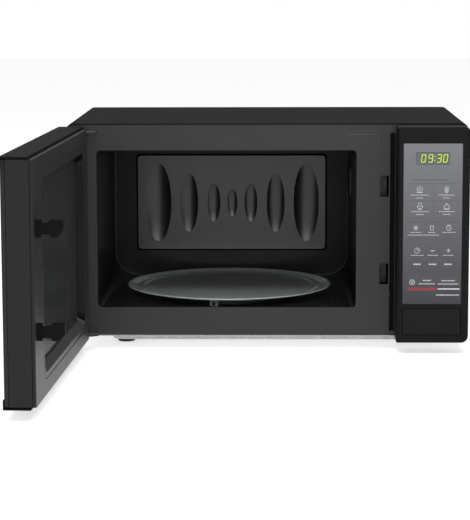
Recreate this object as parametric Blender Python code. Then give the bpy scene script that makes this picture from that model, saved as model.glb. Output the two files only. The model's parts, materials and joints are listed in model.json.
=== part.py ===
"""A countertop microwave oven, standing on its feet with its door open.

The oven's own frame has X from the cabinet's left side, Y from the front plate towards the back
and Z up from the counter. The door is modelled shut, then swung open about its pins.
Everything hangs from one empty, which puts the bottom centre of the whole oven at the origin.
"""

from math import cos, pi, radians, sin

import bmesh
import bpy
from mathutils import Matrix, Vector

MM = 0.001

# Clearances
GAP = 0.3 * MM  # air between pieces that touch
RUNNING = 0.05 * MM  # air around a shaft in its hole

# Cabinet
CABINET_WIDTH = 455 * MM
CABINET_HEIGHT = 259 * MM
CABINET_DEPTH = 278 * MM
CABINET_BOTTOM = 14 * MM
WRAP_SHEET = 1 * MM
WRAP_RADIUS = 7 * MM
WRAP_LIP = 1 * MM  # how far the cover stands in front of the front plate
SHEET = 1.2 * MM
PLATE_BOTTOM = 16.5 * MM
RIM_DROP = 1 * MM  # front plate's lower edge to the base plate's rim
REAR_INSET = 1.3 * MM  # rear panel's outer face to the cover's rear edge

# Cavity
CAVITY_LEFT = 33.5 * MM
BAY_WIDTH = 125.8 * MM  # cavity's right wall to the cabinet's right side
CAVITY_FLOOR = 46 * MM
CEILING_DROP = 30.6 * MM  # cabinet's top to the cavity's ceiling
REAR_SPACE = 16 * MM  # cavity's back to the cabinet's rear edge
CAVITY_SHEET = 1 * MM
MOUTH_SILL = 2 * MM  # how far the front plate stands above the cavity's floor
MOUTH_RADIUS = 6 * MM
BACK_RADIUS = 28 * MM
RAISED_SIDE = 28.9 * MM  # cavity's side to the back wall's raised panel
RAISED_BOTTOM = 33.5 * MM
RAISED_TOP = 29.4 * MM
RAISED_HEIGHT = 3.5 * MM
RAISED_RADIUS = 5 * MM
DENT_SHIFT = 1 * MM
DENT_CENTRE = (6.4 * MM, 17.8 * MM)
DENT_PAIRS = (  # each mirrored about the middle dent: distance from it, half width, half height
    (23.5 * MM, 8.3 * MM, 24.3 * MM),
    (55 * MM, 11.7 * MM, 37.9 * MM),
    (93.8 * MM, 16.5 * MM, 50.3 * MM),
)
PORT_LENGTH = 84 * MM
PORT_HEIGHT = 26 * MM
PORT_BACK_SPACE = 18 * MM  # waveguide port to the cavity's back
PORT_DROP = 40.4 * MM  # cavity's ceiling to the port

# Turntable
TRAY_RADIUS = 122.5 * MM
TRAY_MARGIN = 5 * MM  # front plate to the tray's nearest edge
TRAY_GLASS = 3 * MM
TRAY_RISE = 3 * MM
TRACK_INSET = 34.5 * MM  # tray's edge to the middle of the roller track
RECESS_INSET = 12.5 * MM
RECESS_DEPTH = 5 * MM
ROLLER_RADIUS = 4.9 * MM
ROLLER_WIDTH = 8 * MM
ROLLER_COUNT = 3
ROLLER_TURN = radians(20)
AXLE_RADIUS = 1.5 * MM
DRIVE_SHAFT_RADIUS = 3.5 * MM
DRIVE_ARM = 16 * MM

# Control panel
PANEL_WIDTH = 81.5 * MM
PANEL_BOTTOM = 12.5 * MM
PANEL_DROP = 2 * MM  # cabinet's top to the panel's top
PANEL_DEPTH = 32 * MM
PANEL_WALL = 2.2 * MM
PANEL_EDGE = 1 * MM
KEYPAD_WIDTH = 66.4 * MM
KEYPAD_SIDE = 6.6 * MM  # panel's left edge to the keypad
KEYPAD_DROP = 18 * MM  # panel's top to the keypad's top
KEYPAD_RISE = 4.4 * MM  # button's top to the keypad's bottom
KEYPAD_SHEET = 0.7 * MM
KEYPAD_PROUD = 0.2 * MM
LENS_WIDTH = 37.6 * MM
LENS_HEIGHT = 13.4 * MM
LENS_SIDE = 14.2 * MM  # keypad's left edge to the lens
LENS_DROP = 10.2 * MM  # keypad's top edge to the lens
BUTTON_RISE = 9.1 * MM  # panel's bottom to the button
BUTTON_HEIGHT = 31 * MM
BUTTON_TRAVEL = 4.5 * MM
BUTTON_GAP = 0.4 * MM
STEM_SIDE = 13 * MM  # panel's left edge to the button's stem

# Door, as it is when shut
DOOR_TO_PANEL = 2 * MM
DOOR_THICKNESS = 31.5 * MM
DOOR_CLEARANCE = 1.5 * MM  # door's inner face to the front plate
DOOR_BOTTOM = 10.5 * MM
DOOR_DROP = 3.2 * MM  # cabinet's top to the door's top
CAP_SHEET = 1.5 * MM
CAP_LIP = 10 * MM
CAP_LIP_SHEET = 0.9 * MM
CAP_OVERHANG = 1 * MM
CAP_SETBACK = 5 * MM  # door's inner face to the caps' rear edge
GLASS_THICKNESS = 4.4 * MM
FRAME_WALL = 2.5 * MM
FRAME_WEB = 34 * MM
DOOR_OPEN_ANGLE = 92.6
HINGE_SIDE = 10.4 * MM  # cabinet's left side to the hinge axis
HINGE_INSET = 13.4 * MM  # door's inner face to the hinge axis
PIN_RADIUS = 3 * MM
BRACKET_SHEET = 2.5 * MM
BRACKET_AIR = 0.8 * MM
BRACKET_DROP = 5.1 * MM  # door's top or bottom to the nearer bracket
BRACKET_EYE = 6 * MM
BRACKET_ROOT = (14 * MM, 34 * MM)
COVER_SHEET = 3.3 * MM
COVER_INSET = 2 * MM
WINDOW_SIDE = 25 * MM
WINDOW_LATCH_SIDE = 50 * MM
WINDOW_RISE = 24 * MM  # door's bottom to the window
WINDOW_DROP = 25.8 * MM  # door's top to the window
WINDOW_RADIUS = 13 * MM
WINDOW_RECESS = 8 * MM

# Latch
SLOT_TO_PANEL = 17.6 * MM  # slot's left side to the panel
SLOT_WIDTH = 10 * MM
SLOT_HEIGHT = 24 * MM
SLOT_BOTTOM = 75 * MM
SLOT_PITCH = 100.5 * MM
HOOK_THICKNESS = 5.5 * MM
HOOK_REACH = 26 * MM  # how far the hooks pass behind the front plate's face
LATCH_TRAVEL = 4 * MM
LEVER_ARM = 24 * MM
LEVER_Y = 10 * MM
LEVER_RADIUS = 3 * MM
STEM_Z = 36 * MM

# Cooling fan and cord entry
FAN_RADIUS = 40 * MM
FAN_OFFSET = 6 * MM  # middle of the bay to the fan's axis
GLAND_SIDE = 40 * MM
GLAND_Z = 60 * MM

# Feet
FOOT_RADIUS = 10 * MM
FOOT_HEIGHT = 9 * MM
FOOT_SIDE = 62 * MM
FOOT_FRONT = 52 * MM
FOOT_REAR = 42 * MM

# Roundness
FINE_SIDES = 48
ROUND_SIDES = 24
SMALL_SIDES = 12
CORNER_STEPS = 4
SHARP_ANGLE = radians(35)
LEAST_RADIUS = 0.2 * MM

# Places worked out from the sizes above
CAVITY_RIGHT = CABINET_WIDTH - BAY_WIDTH
CAVITY_CEILING = CABINET_HEIGHT - CEILING_DROP
CAVITY_DEPTH = CABINET_DEPTH - REAR_SPACE
TURNTABLE_X = (CAVITY_LEFT + CAVITY_RIGHT) / 2
TURNTABLE_Y = TRAY_MARGIN + TRAY_RADIUS
ROLLER_TRACK = TRAY_RADIUS - TRACK_INSET
RECESS_RADIUS = TRAY_RADIUS - RECESS_INSET
RECESS_FLOOR = CAVITY_FLOOR - RECESS_DEPTH
ROLLER_AIR = 0.1 * MM
TRAY_UNDERSIDE = RECESS_FLOOR + 2 * (ROLLER_RADIUS + ROLLER_AIR)
PANEL_LEFT = CABINET_WIDTH - PANEL_WIDTH
PANEL_TOP = CABINET_HEIGHT - PANEL_DROP
BUTTON_BOTTOM = PANEL_BOTTOM + BUTTON_RISE
KEYPAD_BOTTOM = BUTTON_BOTTOM + BUTTON_HEIGHT + KEYPAD_RISE
KEYPAD_TOP = PANEL_TOP - KEYPAD_DROP
DOOR_TOP = CABINET_HEIGHT - DOOR_DROP
DOOR_RIGHT = PANEL_LEFT - DOOR_TO_PANEL
DOOR_FRONT = -DOOR_CLEARANCE - DOOR_THICKNESS
HINGE_FORWARD = DOOR_CLEARANCE + HINGE_INSET
UPPER_BRACKET = DOOR_TOP - BRACKET_DROP - BRACKET_SHEET
LOWER_BRACKET = DOOR_BOTTOM + BRACKET_DROP
SLOT_LEFT = PANEL_LEFT - SLOT_TO_PANEL
SLOT_BOTTOMS = (SLOT_BOTTOM, SLOT_BOTTOM + SLOT_PITCH)
HOOK_LEFT = SLOT_LEFT + 1 * MM
STEM_X = PANEL_LEFT + STEM_SIDE
LEVER_Z = STEM_Z + LEVER_ARM
PAN_FLOOR = FOOT_HEIGHT + GAP
REAR_FACE = CABINET_DEPTH - SHEET - REAR_INSET
BAY_LEFT = CAVITY_RIGHT + CAVITY_SHEET + GAP  # the electrical bay beside the cavity
BAY_RIGHT = CABINET_WIDTH - WRAP_SHEET - GAP
BAY_CENTRE_X = (BAY_LEFT + BAY_RIGHT) / 2
PORT_FRONT = CAVITY_DEPTH - PORT_BACK_SPACE - PORT_LENGTH
PORT_BOTTOM = CAVITY_CEILING - PORT_DROP - PORT_HEIGHT
FAN_X = BAY_CENTRE_X + FAN_OFFSET
FAN_Z = PORT_BOTTOM + PORT_HEIGHT / 2 + 1 * MM
GLAND_X = CABINET_WIDTH - GLAND_SIDE
DENTS = [(0, *DENT_CENTRE)] + [
    (
        side * offset, half_width, half_height
    ) for offset, half_width, half_height in DENT_PAIRS for side in (-1, 1)
]


# Materials

def linear(channel):
    """A display colour channel, 0 to 255, as Blender's linear value."""
    value = channel / 255
    return value / 12.92 if value <= 0.04045 else ((value + 0.055) / 1.055) ** 2.4


def finish(name, colour, roughness, metallic=0.0, alpha=1.0):
    material = bpy.data.materials.new(name)
    material.use_nodes = True
    shader = material.node_tree.nodes["Principled BSDF"]
    red, green, blue = (linear(channel) for channel in colour)
    shader.inputs["Base Color"].default_value = (red, green, blue, 1)
    shader.inputs["Roughness"].default_value = roughness
    shader.inputs["Metallic"].default_value = metallic
    shader.inputs["Alpha"].default_value = alpha
    material.diffuse_color = (red, green, blue, 1)
    return material


# Outlines

def rounded_rect(low, high, radii, inset=0.0, steps=CORNER_STEPS):
    """A rectangle's outline with its own radius at each corner, from the low corner counterclockwise."""
    left, bottom = low[0] + inset, low[1] + inset
    right, top = high[0] - inset, high[1] - inset
    corners = (
        (left, bottom, 1, 1, 180), (right, bottom, -1, 1, 270), (right, top, -1, -1, 0),
        (left, top, 1, -1, 90)
    )
    points = []
    for (x, y, inward_x, inward_y, start), radius in zip(corners, radii):
        size = max(radius - inset, LEAST_RADIUS)
        for step in range(steps + 1):
            angle = radians(start + 90 * step / steps)
            points.append(
                (x + inward_x * size + size * cos(angle), y + inward_y * size + size * sin(angle))
            )
    return points


def polygon(centre, radius, sides, turn=0.0):
    return [
        (
            centre[0] + radius * cos(turn + 2 * pi * side / sides),
            centre[1] + radius * sin(turn + 2 * pi * side / sides)
        )
        for side in range(sides)
    ]


def hole_radius(shaft_radius, sides, air=RUNNING):
    """The radius of a many-sided hole whose flats clear a shaft by the given air."""
    return (shaft_radius + air) / cos(pi / sides)


# Meshes

PLACERS = {
    "X": lambda a, b, along: (along, a, b),
    "Y": lambda a, b, along: (a, along, b),
    "Z": lambda a, b, along: (a, b, along),
}


def skin(mesh, ring_a, ring_b):
    """Fills the band between two rings, of which one may be a single point."""
    count = max(len(ring_a), len(ring_b))
    for i in range(count):
        j = (i + 1) % count
        corners = [
            ring_a[i % len(ring_a)], ring_a[j % len(ring_a)], ring_b[j % len(ring_b)],
            ring_b[i % len(ring_b)]
        ]
        mesh.faces.new(list(dict.fromkeys(corners)))


def box(low, high, bevel=0.0):
    mesh = bmesh.new()
    bmesh.ops.create_cube(mesh, size=1)
    for vert in mesh.verts:
        vert.co = Vector([low[i] + (vert.co[i] + 0.5) * (high[i] - low[i]) for i in range(3)])
    if bevel:
        bmesh.ops.bevel(mesh, geom=mesh.edges[:], offset=bevel, segments=1, affect="EDGES")
    return mesh


def rod(start, end, radius, sides=ROUND_SIDES, end_radius=None):
    mesh = bmesh.new()
    start, end = Vector(start), Vector(end)
    tip = radius if end_radius is None else end_radius
    length = (end - start).length
    bmesh.ops.create_cone(mesh, cap_ends=True, segments=sides, radius1=radius, radius2=tip, depth=length)
    turn = (end - start).to_track_quat("Z", "Y").to_matrix().to_4x4()
    bmesh.ops.transform(mesh, matrix=Matrix.Translation((start + end) / 2) @ turn, verts=mesh.verts)
    return mesh


def prism(outline, start, end, axis):
    mesh = bmesh.new()
    place = PLACERS[axis]
    rings = [[mesh.verts.new(place(a, b, along)) for a, b in outline] for along in (start, end)]
    skin(mesh, *rings)
    for ring in rings:
        mesh.faces.new(ring)
    return mesh


def turned(profile, centre, axis="Z", sides=ROUND_SIDES):
    """A profile of (radius, height) points turned about an axis; a ring where it stays off the axis."""
    mesh = bmesh.new()
    rings = []
    base = Vector(centre)
    for radius, height in profile:
        points = polygon((0, 0), radius, sides) if radius else [(0, 0)]
        rings.append([mesh.verts.new(base + Vector(PLACERS[axis](a, b, height))) for a, b in points])
    if all(radius for radius, _ in profile):
        rings.append(rings[0])
    for ring_a, ring_b in zip(rings, rings[1:]):
        skin(mesh, ring_a, ring_b)
    return mesh


def rimmed(low, high, radii, profile, axis, closed=False):
    """A profile of (inset, height) points carried round a rounded rectangle, capped unless closed."""
    mesh = bmesh.new()
    place = PLACERS[axis]
    rings = [
        [mesh.verts.new(place(a, b, height)) for a, b in rounded_rect(low, high, radii, inset)]
        for inset, height in profile
    ]
    if closed:
        rings.append(rings[0])
    else:
        mesh.faces.new(rings[0])
        mesh.faces.new(rings[-1])
    for ring_a, ring_b in zip(rings, rings[1:]):
        skin(mesh, ring_a, ring_b)
    return mesh


def together(*meshes):
    """Several shapes that don't touch, as one cutter."""
    whole = bmesh.new()
    for mesh in meshes:
        bmesh.ops.recalc_face_normals(mesh, faces=mesh.faces)
        data = bpy.data.meshes.new("loose")
        mesh.to_mesh(data)
        mesh.free()
        whole.from_mesh(data)
        bpy.data.meshes.remove(data)
    return whole


# Objects

def frame_at(name, home, parent=None):
    """An empty that a group of pieces hangs from; home is its place in the oven's frame."""
    empty = bpy.data.objects.new(name, None)
    empty["home"] = home
    bpy.context.scene.collection.objects.link(empty)
    if parent:
        empty.parent = parent
        empty.location = Vector(home) - Vector(parent["home"])
    return empty


def piece(name, mesh, material, group, origin=None):
    """One object, drawn in the oven's frame, with its origin where asked, or else at its group's."""
    home = Vector(origin if origin is not None else group["home"])
    bmesh.ops.translate(mesh, vec=-home, verts=mesh.verts)
    bmesh.ops.recalc_face_normals(mesh, faces=mesh.faces)
    data = bpy.data.meshes.new(name)
    mesh.to_mesh(data)
    mesh.free()
    data.shade_smooth()
    data.set_sharp_from_angle(angle=SHARP_ANGLE)
    obj = bpy.data.objects.new(name, data)
    if material:
        data.materials.append(material)
    bpy.context.scene.collection.objects.link(obj)
    obj.parent = group
    obj.location = home - Vector(group["home"])
    return obj


def work(obj, mesh, operation):
    tool = piece(f"{obj.name}_{operation.lower()}_{len(obj.modifiers)}", mesh, None, obj.parent)
    tool.hide_render = True
    tool.display_type = "WIRE"
    modifier = obj.modifiers.new(operation.title(), "BOOLEAN")
    modifier.operation = operation
    modifier.object = tool
    modifier.solver = "EXACT"


def cut(obj, *meshes):
    work(obj, together(*meshes), "DIFFERENCE")


def join(obj, *meshes):
    for mesh in meshes:
        work(obj, mesh, "UNION")


def coil(name, start, end, radius, wire, turns, material, group):
    """A compression spring as a wire along a helix."""
    curve = bpy.data.curves.new(name, "CURVE")
    curve.dimensions = "3D"
    curve.bevel_depth = wire
    curve.bevel_resolution = 1
    curve.use_fill_caps = True
    spline = curve.splines.new("POLY")
    start, end = Vector(start), Vector(end)
    along = end - start
    side = along.orthogonal().normalized()
    other = along.cross(side).normalized()
    steps = turns * 8
    spline.points.add(steps)
    for step in range(steps + 1):
        angle = 2 * pi * turns * step / steps
        place = start + along * step / steps + (side * cos(angle) + other * sin(angle)) * radius
        spline.points[step].co = (*(place - Vector(group["home"])), 1)
    obj = bpy.data.objects.new(name, curve)
    curve.materials.append(material)
    bpy.context.scene.collection.objects.link(obj)
    obj.parent = group
    return obj


# Cabinet and cavity

def slots(low, size, pitch, count, rows=1, row_pitch=0.0):
    """Boxes for a bank of vent slots, repeated along Y and stacked along Z."""
    return [
        box(
            (low[0], low[1] + pitch * i, low[2] + row_pitch * row),
            (low[0] + size[0], low[1] + pitch * i + size[1], low[2] + row_pitch * row + size[2]),
        )
        for row in range(rows)
        for i in range(count)
    ]


def inside_wrap(bottom):
    """The outline of a plate that fits inside the cover, rounded where the cover is."""
    edge = WRAP_SHEET + GAP
    radii = (LEAST_RADIUS, LEAST_RADIUS, WRAP_RADIUS - edge, WRAP_RADIUS - edge)
    return rounded_rect((edge, bottom), (CABINET_WIDTH - edge, CABINET_HEIGHT - edge), radii)


def build_cabinet(oven, looks):
    top, width = CABINET_HEIGHT, CABINET_WIDTH
    radii = (LEAST_RADIUS, LEAST_RADIUS, WRAP_RADIUS, WRAP_RADIUS)
    upper = 2 * (CORNER_STEPS + 1)  # where the outline's two top corners start
    over = rounded_rect((0, CABINET_BOTTOM), (width, top), radii)[upper:]
    under = rounded_rect((0, CABINET_BOTTOM), (width, top), radii, WRAP_SHEET)[upper:]
    outline = [(width, CABINET_BOTTOM), *over, (0, CABINET_BOTTOM)]
    outline += [(WRAP_SHEET, CABINET_BOTTOM), *reversed(under), (width - WRAP_SHEET, CABINET_BOTTOM)]
    wrap = piece("cabinet_wrap", prism(outline, -WRAP_LIP, CABINET_DEPTH, "Y"), looks["black_paint"], oven)
    slot = (4 * WRAP_SHEET, 3 * MM, 20 * MM)
    vents_y = CABINET_DEPTH - 100 * MM
    right = slots((width - 2 * WRAP_SHEET, vents_y, 150 * MM), slot, 8 * MM, 9, 2, 28 * MM)
    left = slots((-2 * WRAP_SHEET, 40 * MM, 190 * MM), slot, 8 * MM, 9)
    cut(wrap, *right, *left)

    edge = WRAP_SHEET + GAP
    pan_low, pan_high = (47 * MM, 5 * MM), (width - 15 * MM, REAR_FACE - 8 * MM)
    rim = PLATE_BOTTOM - RIM_DROP
    slope = 3 * MM
    profile = (
        (slope + SHEET, PAN_FLOOR + SHEET),
        (SHEET, rim - SHEET / 2),
        (-SHEET / 2, rim - SHEET / 2),
        (0, rim - SHEET - SHEET / 2),
        (slope, PAN_FLOOR),
    )
    pan = rimmed(pan_low, pan_high, [14 * MM] * 4, profile, "Z")
    base = piece("base_plate", prism(
        rounded_rect(
            (edge, 2 * MM), (width - edge, REAR_FACE - GAP), [LEAST_RADIUS] * 4, steps=1
        ), rim - SHEET, rim, "Z"
    ), looks["zinc"], oven)
    cut(base, prism(rounded_rect(pan_low, pan_high, [14 * MM] * 4, SHEET / 4), 0, rim + SHEET, "Z"))
    join(base, pan)

    rear_outline = inside_wrap(CABINET_BOTTOM + 2 * MM)
    rear = piece("rear_panel", prism(rear_outline, REAR_FACE, REAR_FACE + SHEET, "Y"), looks["zinc"], oven)
    vent_columns = []
    for column in range(7):
        for row in range(5):
            x, z = FAN_X - 39 * MM + 12 * MM * column, FAN_Z - 28 * MM + 12 * MM * row
            vent_columns.append(
                box((x, REAR_FACE - SHEET, z), (x + 7 * MM, REAR_FACE + 2 * SHEET, z + 5 * MM))
            )
    gland_bore = rod(
        (GLAND_X, REAR_FACE - 2 * SHEET, GLAND_Z), (GLAND_X, REAR_FACE + 3 * SHEET, GLAND_Z), 8.5 * MM, 16
    )
    cut(rear, gland_bore, *vent_columns)

    gland_profile = (
        (4 * MM, -6 * MM), (8 * MM, -6 * MM), (8 * MM, SHEET + GAP), (11 * MM, SHEET + GAP),
        (11 * MM, SHEET + 2 * MM), (7 * MM, SHEET + 6 * MM), (4 * MM, SHEET + 6 * MM),
    )
    gland = turned(gland_profile, (GLAND_X, REAR_FACE, GLAND_Z), "Y", 16)
    piece("cord_gland", gland, looks["black_plastic"], oven, (GLAND_X, REAR_FACE, GLAND_Z))

    for side, x in (("left", 22 * MM), ("right", width - 22 * MM)):
        centre = (x, REAR_FACE + SHEET + GAP, CABINET_HEIGHT - 20 * MM)
        head = turned(
            ((0, 0), (4 * MM, 0), (4 * MM, 0.8 * MM), (2.5 * MM, 1.6 * MM), (0, 1.6 * MM)), centre, "Y", 12
        )
        piece(f"cover_screw_{side}", head, looks["steel"], oven, centre)

    depth_span = (FOOT_FRONT, REAR_FACE - FOOT_REAR)
    for end, y in zip(("front", "rear"), depth_span):
        for side, x in (("left", FOOT_SIDE), ("right", width - FOOT_SIDE)):
            shape = (
                (0, 0), (FOOT_RADIUS - 1 * MM, 0), (FOOT_RADIUS, 1 * MM),
                (FOOT_RADIUS - 1.5 * MM, FOOT_HEIGHT), (0, FOOT_HEIGHT)
            )
            piece(f"foot_{end}_{side}", turned(shape, (x, y, 0), "Z", 20), looks["rubber"], oven, (x, y, 0))


def build_cavity(oven, looks):
    left, right, floor, ceiling = CAVITY_LEFT, CAVITY_RIGHT, CAVITY_FLOOR, CAVITY_CEILING
    plate = piece(
        "front_flange", prism(inside_wrap(PLATE_BOTTOM), 0, SHEET, "Y"), looks["charcoal_paint"], oven
    )
    mouth = prism(
        rounded_rect(
            (left, floor + MOUTH_SILL), (right, ceiling), [MOUTH_RADIUS] * 4
        ), -SHEET, 3 * SHEET, "Y"
    )
    latch_slots = [
        box(
            (SLOT_LEFT, -SHEET, low), (SLOT_LEFT + SLOT_WIDTH, 3 * SHEET, low + SLOT_HEIGHT)
        ) for low in SLOT_BOTTOMS
    ]
    wiring = box(
        (PANEL_LEFT + 16 * MM, -SHEET, KEYPAD_BOTTOM + 20 * MM),
        (CABINET_WIDTH - 16 * MM, 3 * SHEET, PANEL_TOP - 30 * MM),
    )
    stem_hole = box(
        (STEM_X - 5 * MM, -SHEET, STEM_Z - 5 * MM), (STEM_X + 5 * MM, 3 * SHEET, STEM_Z + 5 * MM)
    )
    cut(plate, mouth, wiring, stem_hole, *latch_slots)

    front, back = SHEET + GAP, CAVITY_DEPTH
    rings = []
    stations = ((front, MOUTH_RADIUS), (CAVITY_DEPTH * 0.45, MOUTH_RADIUS + 4 * MM), (back, BACK_RADIUS))
    mesh = bmesh.new()
    walls = [(y, radius, 0) for y, radius in stations] + [
        (y, radius, CAVITY_SHEET) for y, radius in reversed(stations)
    ]
    for y, radius, out in walls:
        radii = (radius, radius, MOUTH_RADIUS, MOUTH_RADIUS)
        outline = rounded_rect((left, floor), (right, ceiling), radii, -out)
        rings.append([mesh.verts.new((x, y, z)) for x, z in outline])
    for ring_a, ring_b in zip(rings, rings[1:] + rings[:1]):
        skin(mesh, ring_a, ring_b)
    shell = piece("cavity_shell", mesh, looks["charcoal_paint"], oven)
    centre = (TURNTABLE_X, TURNTABLE_Y)
    port = box(
        (right - 2 * MM, PORT_FRONT, PORT_BOTTOM),
        (right + 3 * MM, PORT_FRONT + PORT_LENGTH, PORT_BOTTOM + PORT_HEIGHT),
    )
    cut(
        shell, rod((*centre, RECESS_FLOOR - 9 * MM), (*centre, floor + 3 * MM), RECESS_RADIUS, FINE_SIDES),
        port
    )
    sheet = CAVITY_SHEET
    bore = hole_radius(DRIVE_SHAFT_RADIUS, ROUND_SIDES, 1 * MM)
    lowered = (
        (bore, RECESS_FLOOR), (RECESS_RADIUS - 5 * MM, RECESS_FLOOR), (
            RECESS_RADIUS - sheet / 2, floor - sheet / 4
        ),
        (RECESS_RADIUS + 2 * sheet, floor - sheet / 4), (RECESS_RADIUS + 2 * sheet, floor - sheet * 0.75),
        (RECESS_RADIUS + sheet / 2, floor - sheet * 0.75),
        (RECESS_RADIUS - 5 * MM + sheet / 2, RECESS_FLOOR - sheet), (bore, RECESS_FLOOR - sheet),
    )
    join(shell, turned(lowered, (*centre, 0), "Z", FINE_SIDES))

    edge_out = 3 * MM
    raised, step, sheet = RAISED_HEIGHT, CAVITY_DEPTH + GAP, CAVITY_SHEET
    low = (left + RAISED_SIDE, floor + RAISED_BOTTOM)
    high = (right - RAISED_SIDE, ceiling - RAISED_TOP)
    back_wall = piece("cavity_back", prism(
        rounded_rect(
            (left - edge_out, floor - edge_out), (right + edge_out, ceiling + edge_out),
            [BACK_RADIUS] * 2 + [MOUTH_RADIUS] * 2
        ),
        step, step + sheet, "Y",
    ), looks["charcoal_paint"], oven)
    cut(
        back_wall,
        prism(rounded_rect(low, high, [RAISED_RADIUS] * 4, sheet / 2), step - sheet, step + 2 * sheet, "Y")
    )
    boss = (
        (raised, step - raised), (0, step + sheet / 4), (-sheet, step + sheet / 4),
        (-sheet, step + sheet * 0.75), (sheet, step + sheet * 0.75), (
            raised + sheet, step - raised + sheet
        ),
    )
    join(back_wall, rimmed(low, high, [RAISED_RADIUS] * 4, boss, "Y"))
    dents = []
    for offset, half_width, half_height in DENTS:
        centre = ((low[0] + high[0]) / 2 + offset + DENT_SHIFT, (low[1] + high[1]) / 2)
        outline = [
            (
                centre[0] + half_width * cos(2 * pi * i / 20),
                centre[1] + half_height * sin(2 * pi * i / 20)
            ) for i in range(20)
        ]
        dents.append(prism(outline, step - raised - sheet, step - raised + sheet * 0.5, "Y"))
    cut(back_wall, *dents)

    cover_y = (PORT_FRONT - 4 * MM, PORT_FRONT + PORT_LENGTH + 4 * MM)
    cover_z = (PORT_BOTTOM - 4 * MM, PORT_BOTTOM + PORT_HEIGHT + 4 * MM)
    inner = right - GAP
    sheet_low, sheet_high = (inner - 1 * MM, cover_y[0], cover_z[0]), (inner, cover_y[1], cover_z[1])
    piece("waveguide_cover", box(sheet_low, sheet_high), looks["mica"], oven)


def build_turntable(oven, looks):
    centre = (TURNTABLE_X, TURNTABLE_Y)
    spindle = frame_at("turntable_axis", (*centre, RECESS_FLOOR), oven)

    top = RECESS_FLOOR - CAVITY_SHEET - GAP
    motor_top = top - 5 * MM
    body = (
        (0, motor_top - 16 * MM), (24.5 * MM, motor_top - 16 * MM), (24.5 * MM, motor_top), (0, motor_top)
    )
    motor = piece(
        "turntable_motor", turned(body, (*centre, 0), "Z", ROUND_SIDES), looks["zinc"], oven,
        (*centre, motor_top)
    )
    for side in (-1, 1):
        inner, outer = sorted((centre[0] + side * 20 * MM, centre[0] + side * 34 * MM))
        join(
            motor,
            box(
                (inner, centre[1] - 5 * MM, motor_top - 3 * MM),
                (outer, centre[1] + 5 * MM, motor_top - 1 * MM)
            )
        )
        post = centre[0] + side * 31 * MM
        join(
            motor,
            box(
                (post - 3 * MM, centre[1] - 5 * MM, motor_top - 2 * MM),
                (post + 3 * MM, centre[1] + 5 * MM, top)
            )
        )

    shaft_bottom, head_bottom = motor_top + GAP, RECESS_FLOOR + 2.5 * MM
    head_top = TRAY_UNDERSIDE - GAP
    coupler = piece(
        "drive_coupler", rod(
            (*centre, shaft_bottom), (*centre, head_top), DRIVE_SHAFT_RADIUS, 16
        ), looks["black_plastic"], spindle
    )
    for arm in range(3):
        turn = Matrix.Rotation(2 * pi * arm / 3, 4, "Z")
        wing = box((0, -2.5 * MM, head_bottom), (DRIVE_ARM, 2.5 * MM, head_top))
        bmesh.ops.transform(wing, matrix=Matrix.Translation((*centre, 0)) @ turn, verts=wing.verts)
        join(coupler, wing)

    under, glass = TRAY_UNDERSIDE, TRAY_GLASS
    flat = ROLLER_TRACK + ROLLER_WIDTH
    profile = (
        (0, under), (flat, under), (TRAY_RADIUS - 6 * MM, under + TRAY_RISE * 0.8),
        (TRAY_RADIUS, under + TRAY_RISE), (TRAY_RADIUS, under + TRAY_RISE + glass * 0.8),
        (TRAY_RADIUS - 3 * MM, under + TRAY_RISE + glass),
        (TRAY_RADIUS - 7 * MM, under + TRAY_RISE * 0.8 + glass), (flat - 2 * MM, under + glass), (
            0, under + glass
        ),
    )
    tray = piece("glass_tray", turned(profile, (*centre, 0), "Z", FINE_SIDES), looks["tray_glass"], spindle)
    for nub in range(3):
        angle = pi / 3 + 2 * pi * nub / 3
        x, y = centre[0] + 11 * MM * cos(angle), centre[1] + 11 * MM * sin(angle)
        join(tray, rod((x, y, under - 3.5 * MM), (x, y, under + 1 * MM), 3 * MM, SMALL_SIDES))

    axle_z = RECESS_FLOOR + ROLLER_RADIUS + ROLLER_AIR
    ring_inner, ring_outer = ROLLER_TRACK - 16 * MM, ROLLER_TRACK - 9 * MM
    hub = (
        (ring_inner, axle_z - 2.5 * MM), (ring_outer, axle_z - 2.5 * MM), (ring_outer, axle_z + 2.5 * MM),
        (ring_inner, axle_z + 2.5 * MM)
    )
    ring = piece("roller_ring", turned(hub, (*centre, 0), "Z", FINE_SIDES), looks["black_plastic"], spindle)
    inner_face, outer_face = ROLLER_TRACK - ROLLER_WIDTH / 2, ROLLER_TRACK + ROLLER_WIDTH / 2
    for number in range(ROLLER_COUNT):
        angle = ROLLER_TURN + 2 * pi * number / ROLLER_COUNT
        along = Vector((cos(angle), sin(angle), 0))
        hub_centre = Vector((*centre, axle_z))
        axle = rod(
            hub_centre + along * (ring_outer - 2 * MM), hub_centre + along * (outer_face + 1 * MM),
            AXLE_RADIUS, 12
        )
        head = rod(
            hub_centre + along * (outer_face + GAP), hub_centre + along * (outer_face + 1.5 * MM),
            AXLE_RADIUS + 0.8 * MM, 12
        )
        join(ring, axle, head)
        start, end = hub_centre + along * (inner_face + GAP), hub_centre + along * outer_face
        roller = piece(
            f"roller_{number + 1}", rod(start, end, ROLLER_RADIUS, 20), looks["white_plastic"], spindle,
            (start + end) / 2
        )
        bore = hole_radius(AXLE_RADIUS, 12)
        cut(roller, rod(start - along * 2 * MM, end + along * 2 * MM, bore, 12))


# Electrical bay

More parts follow.
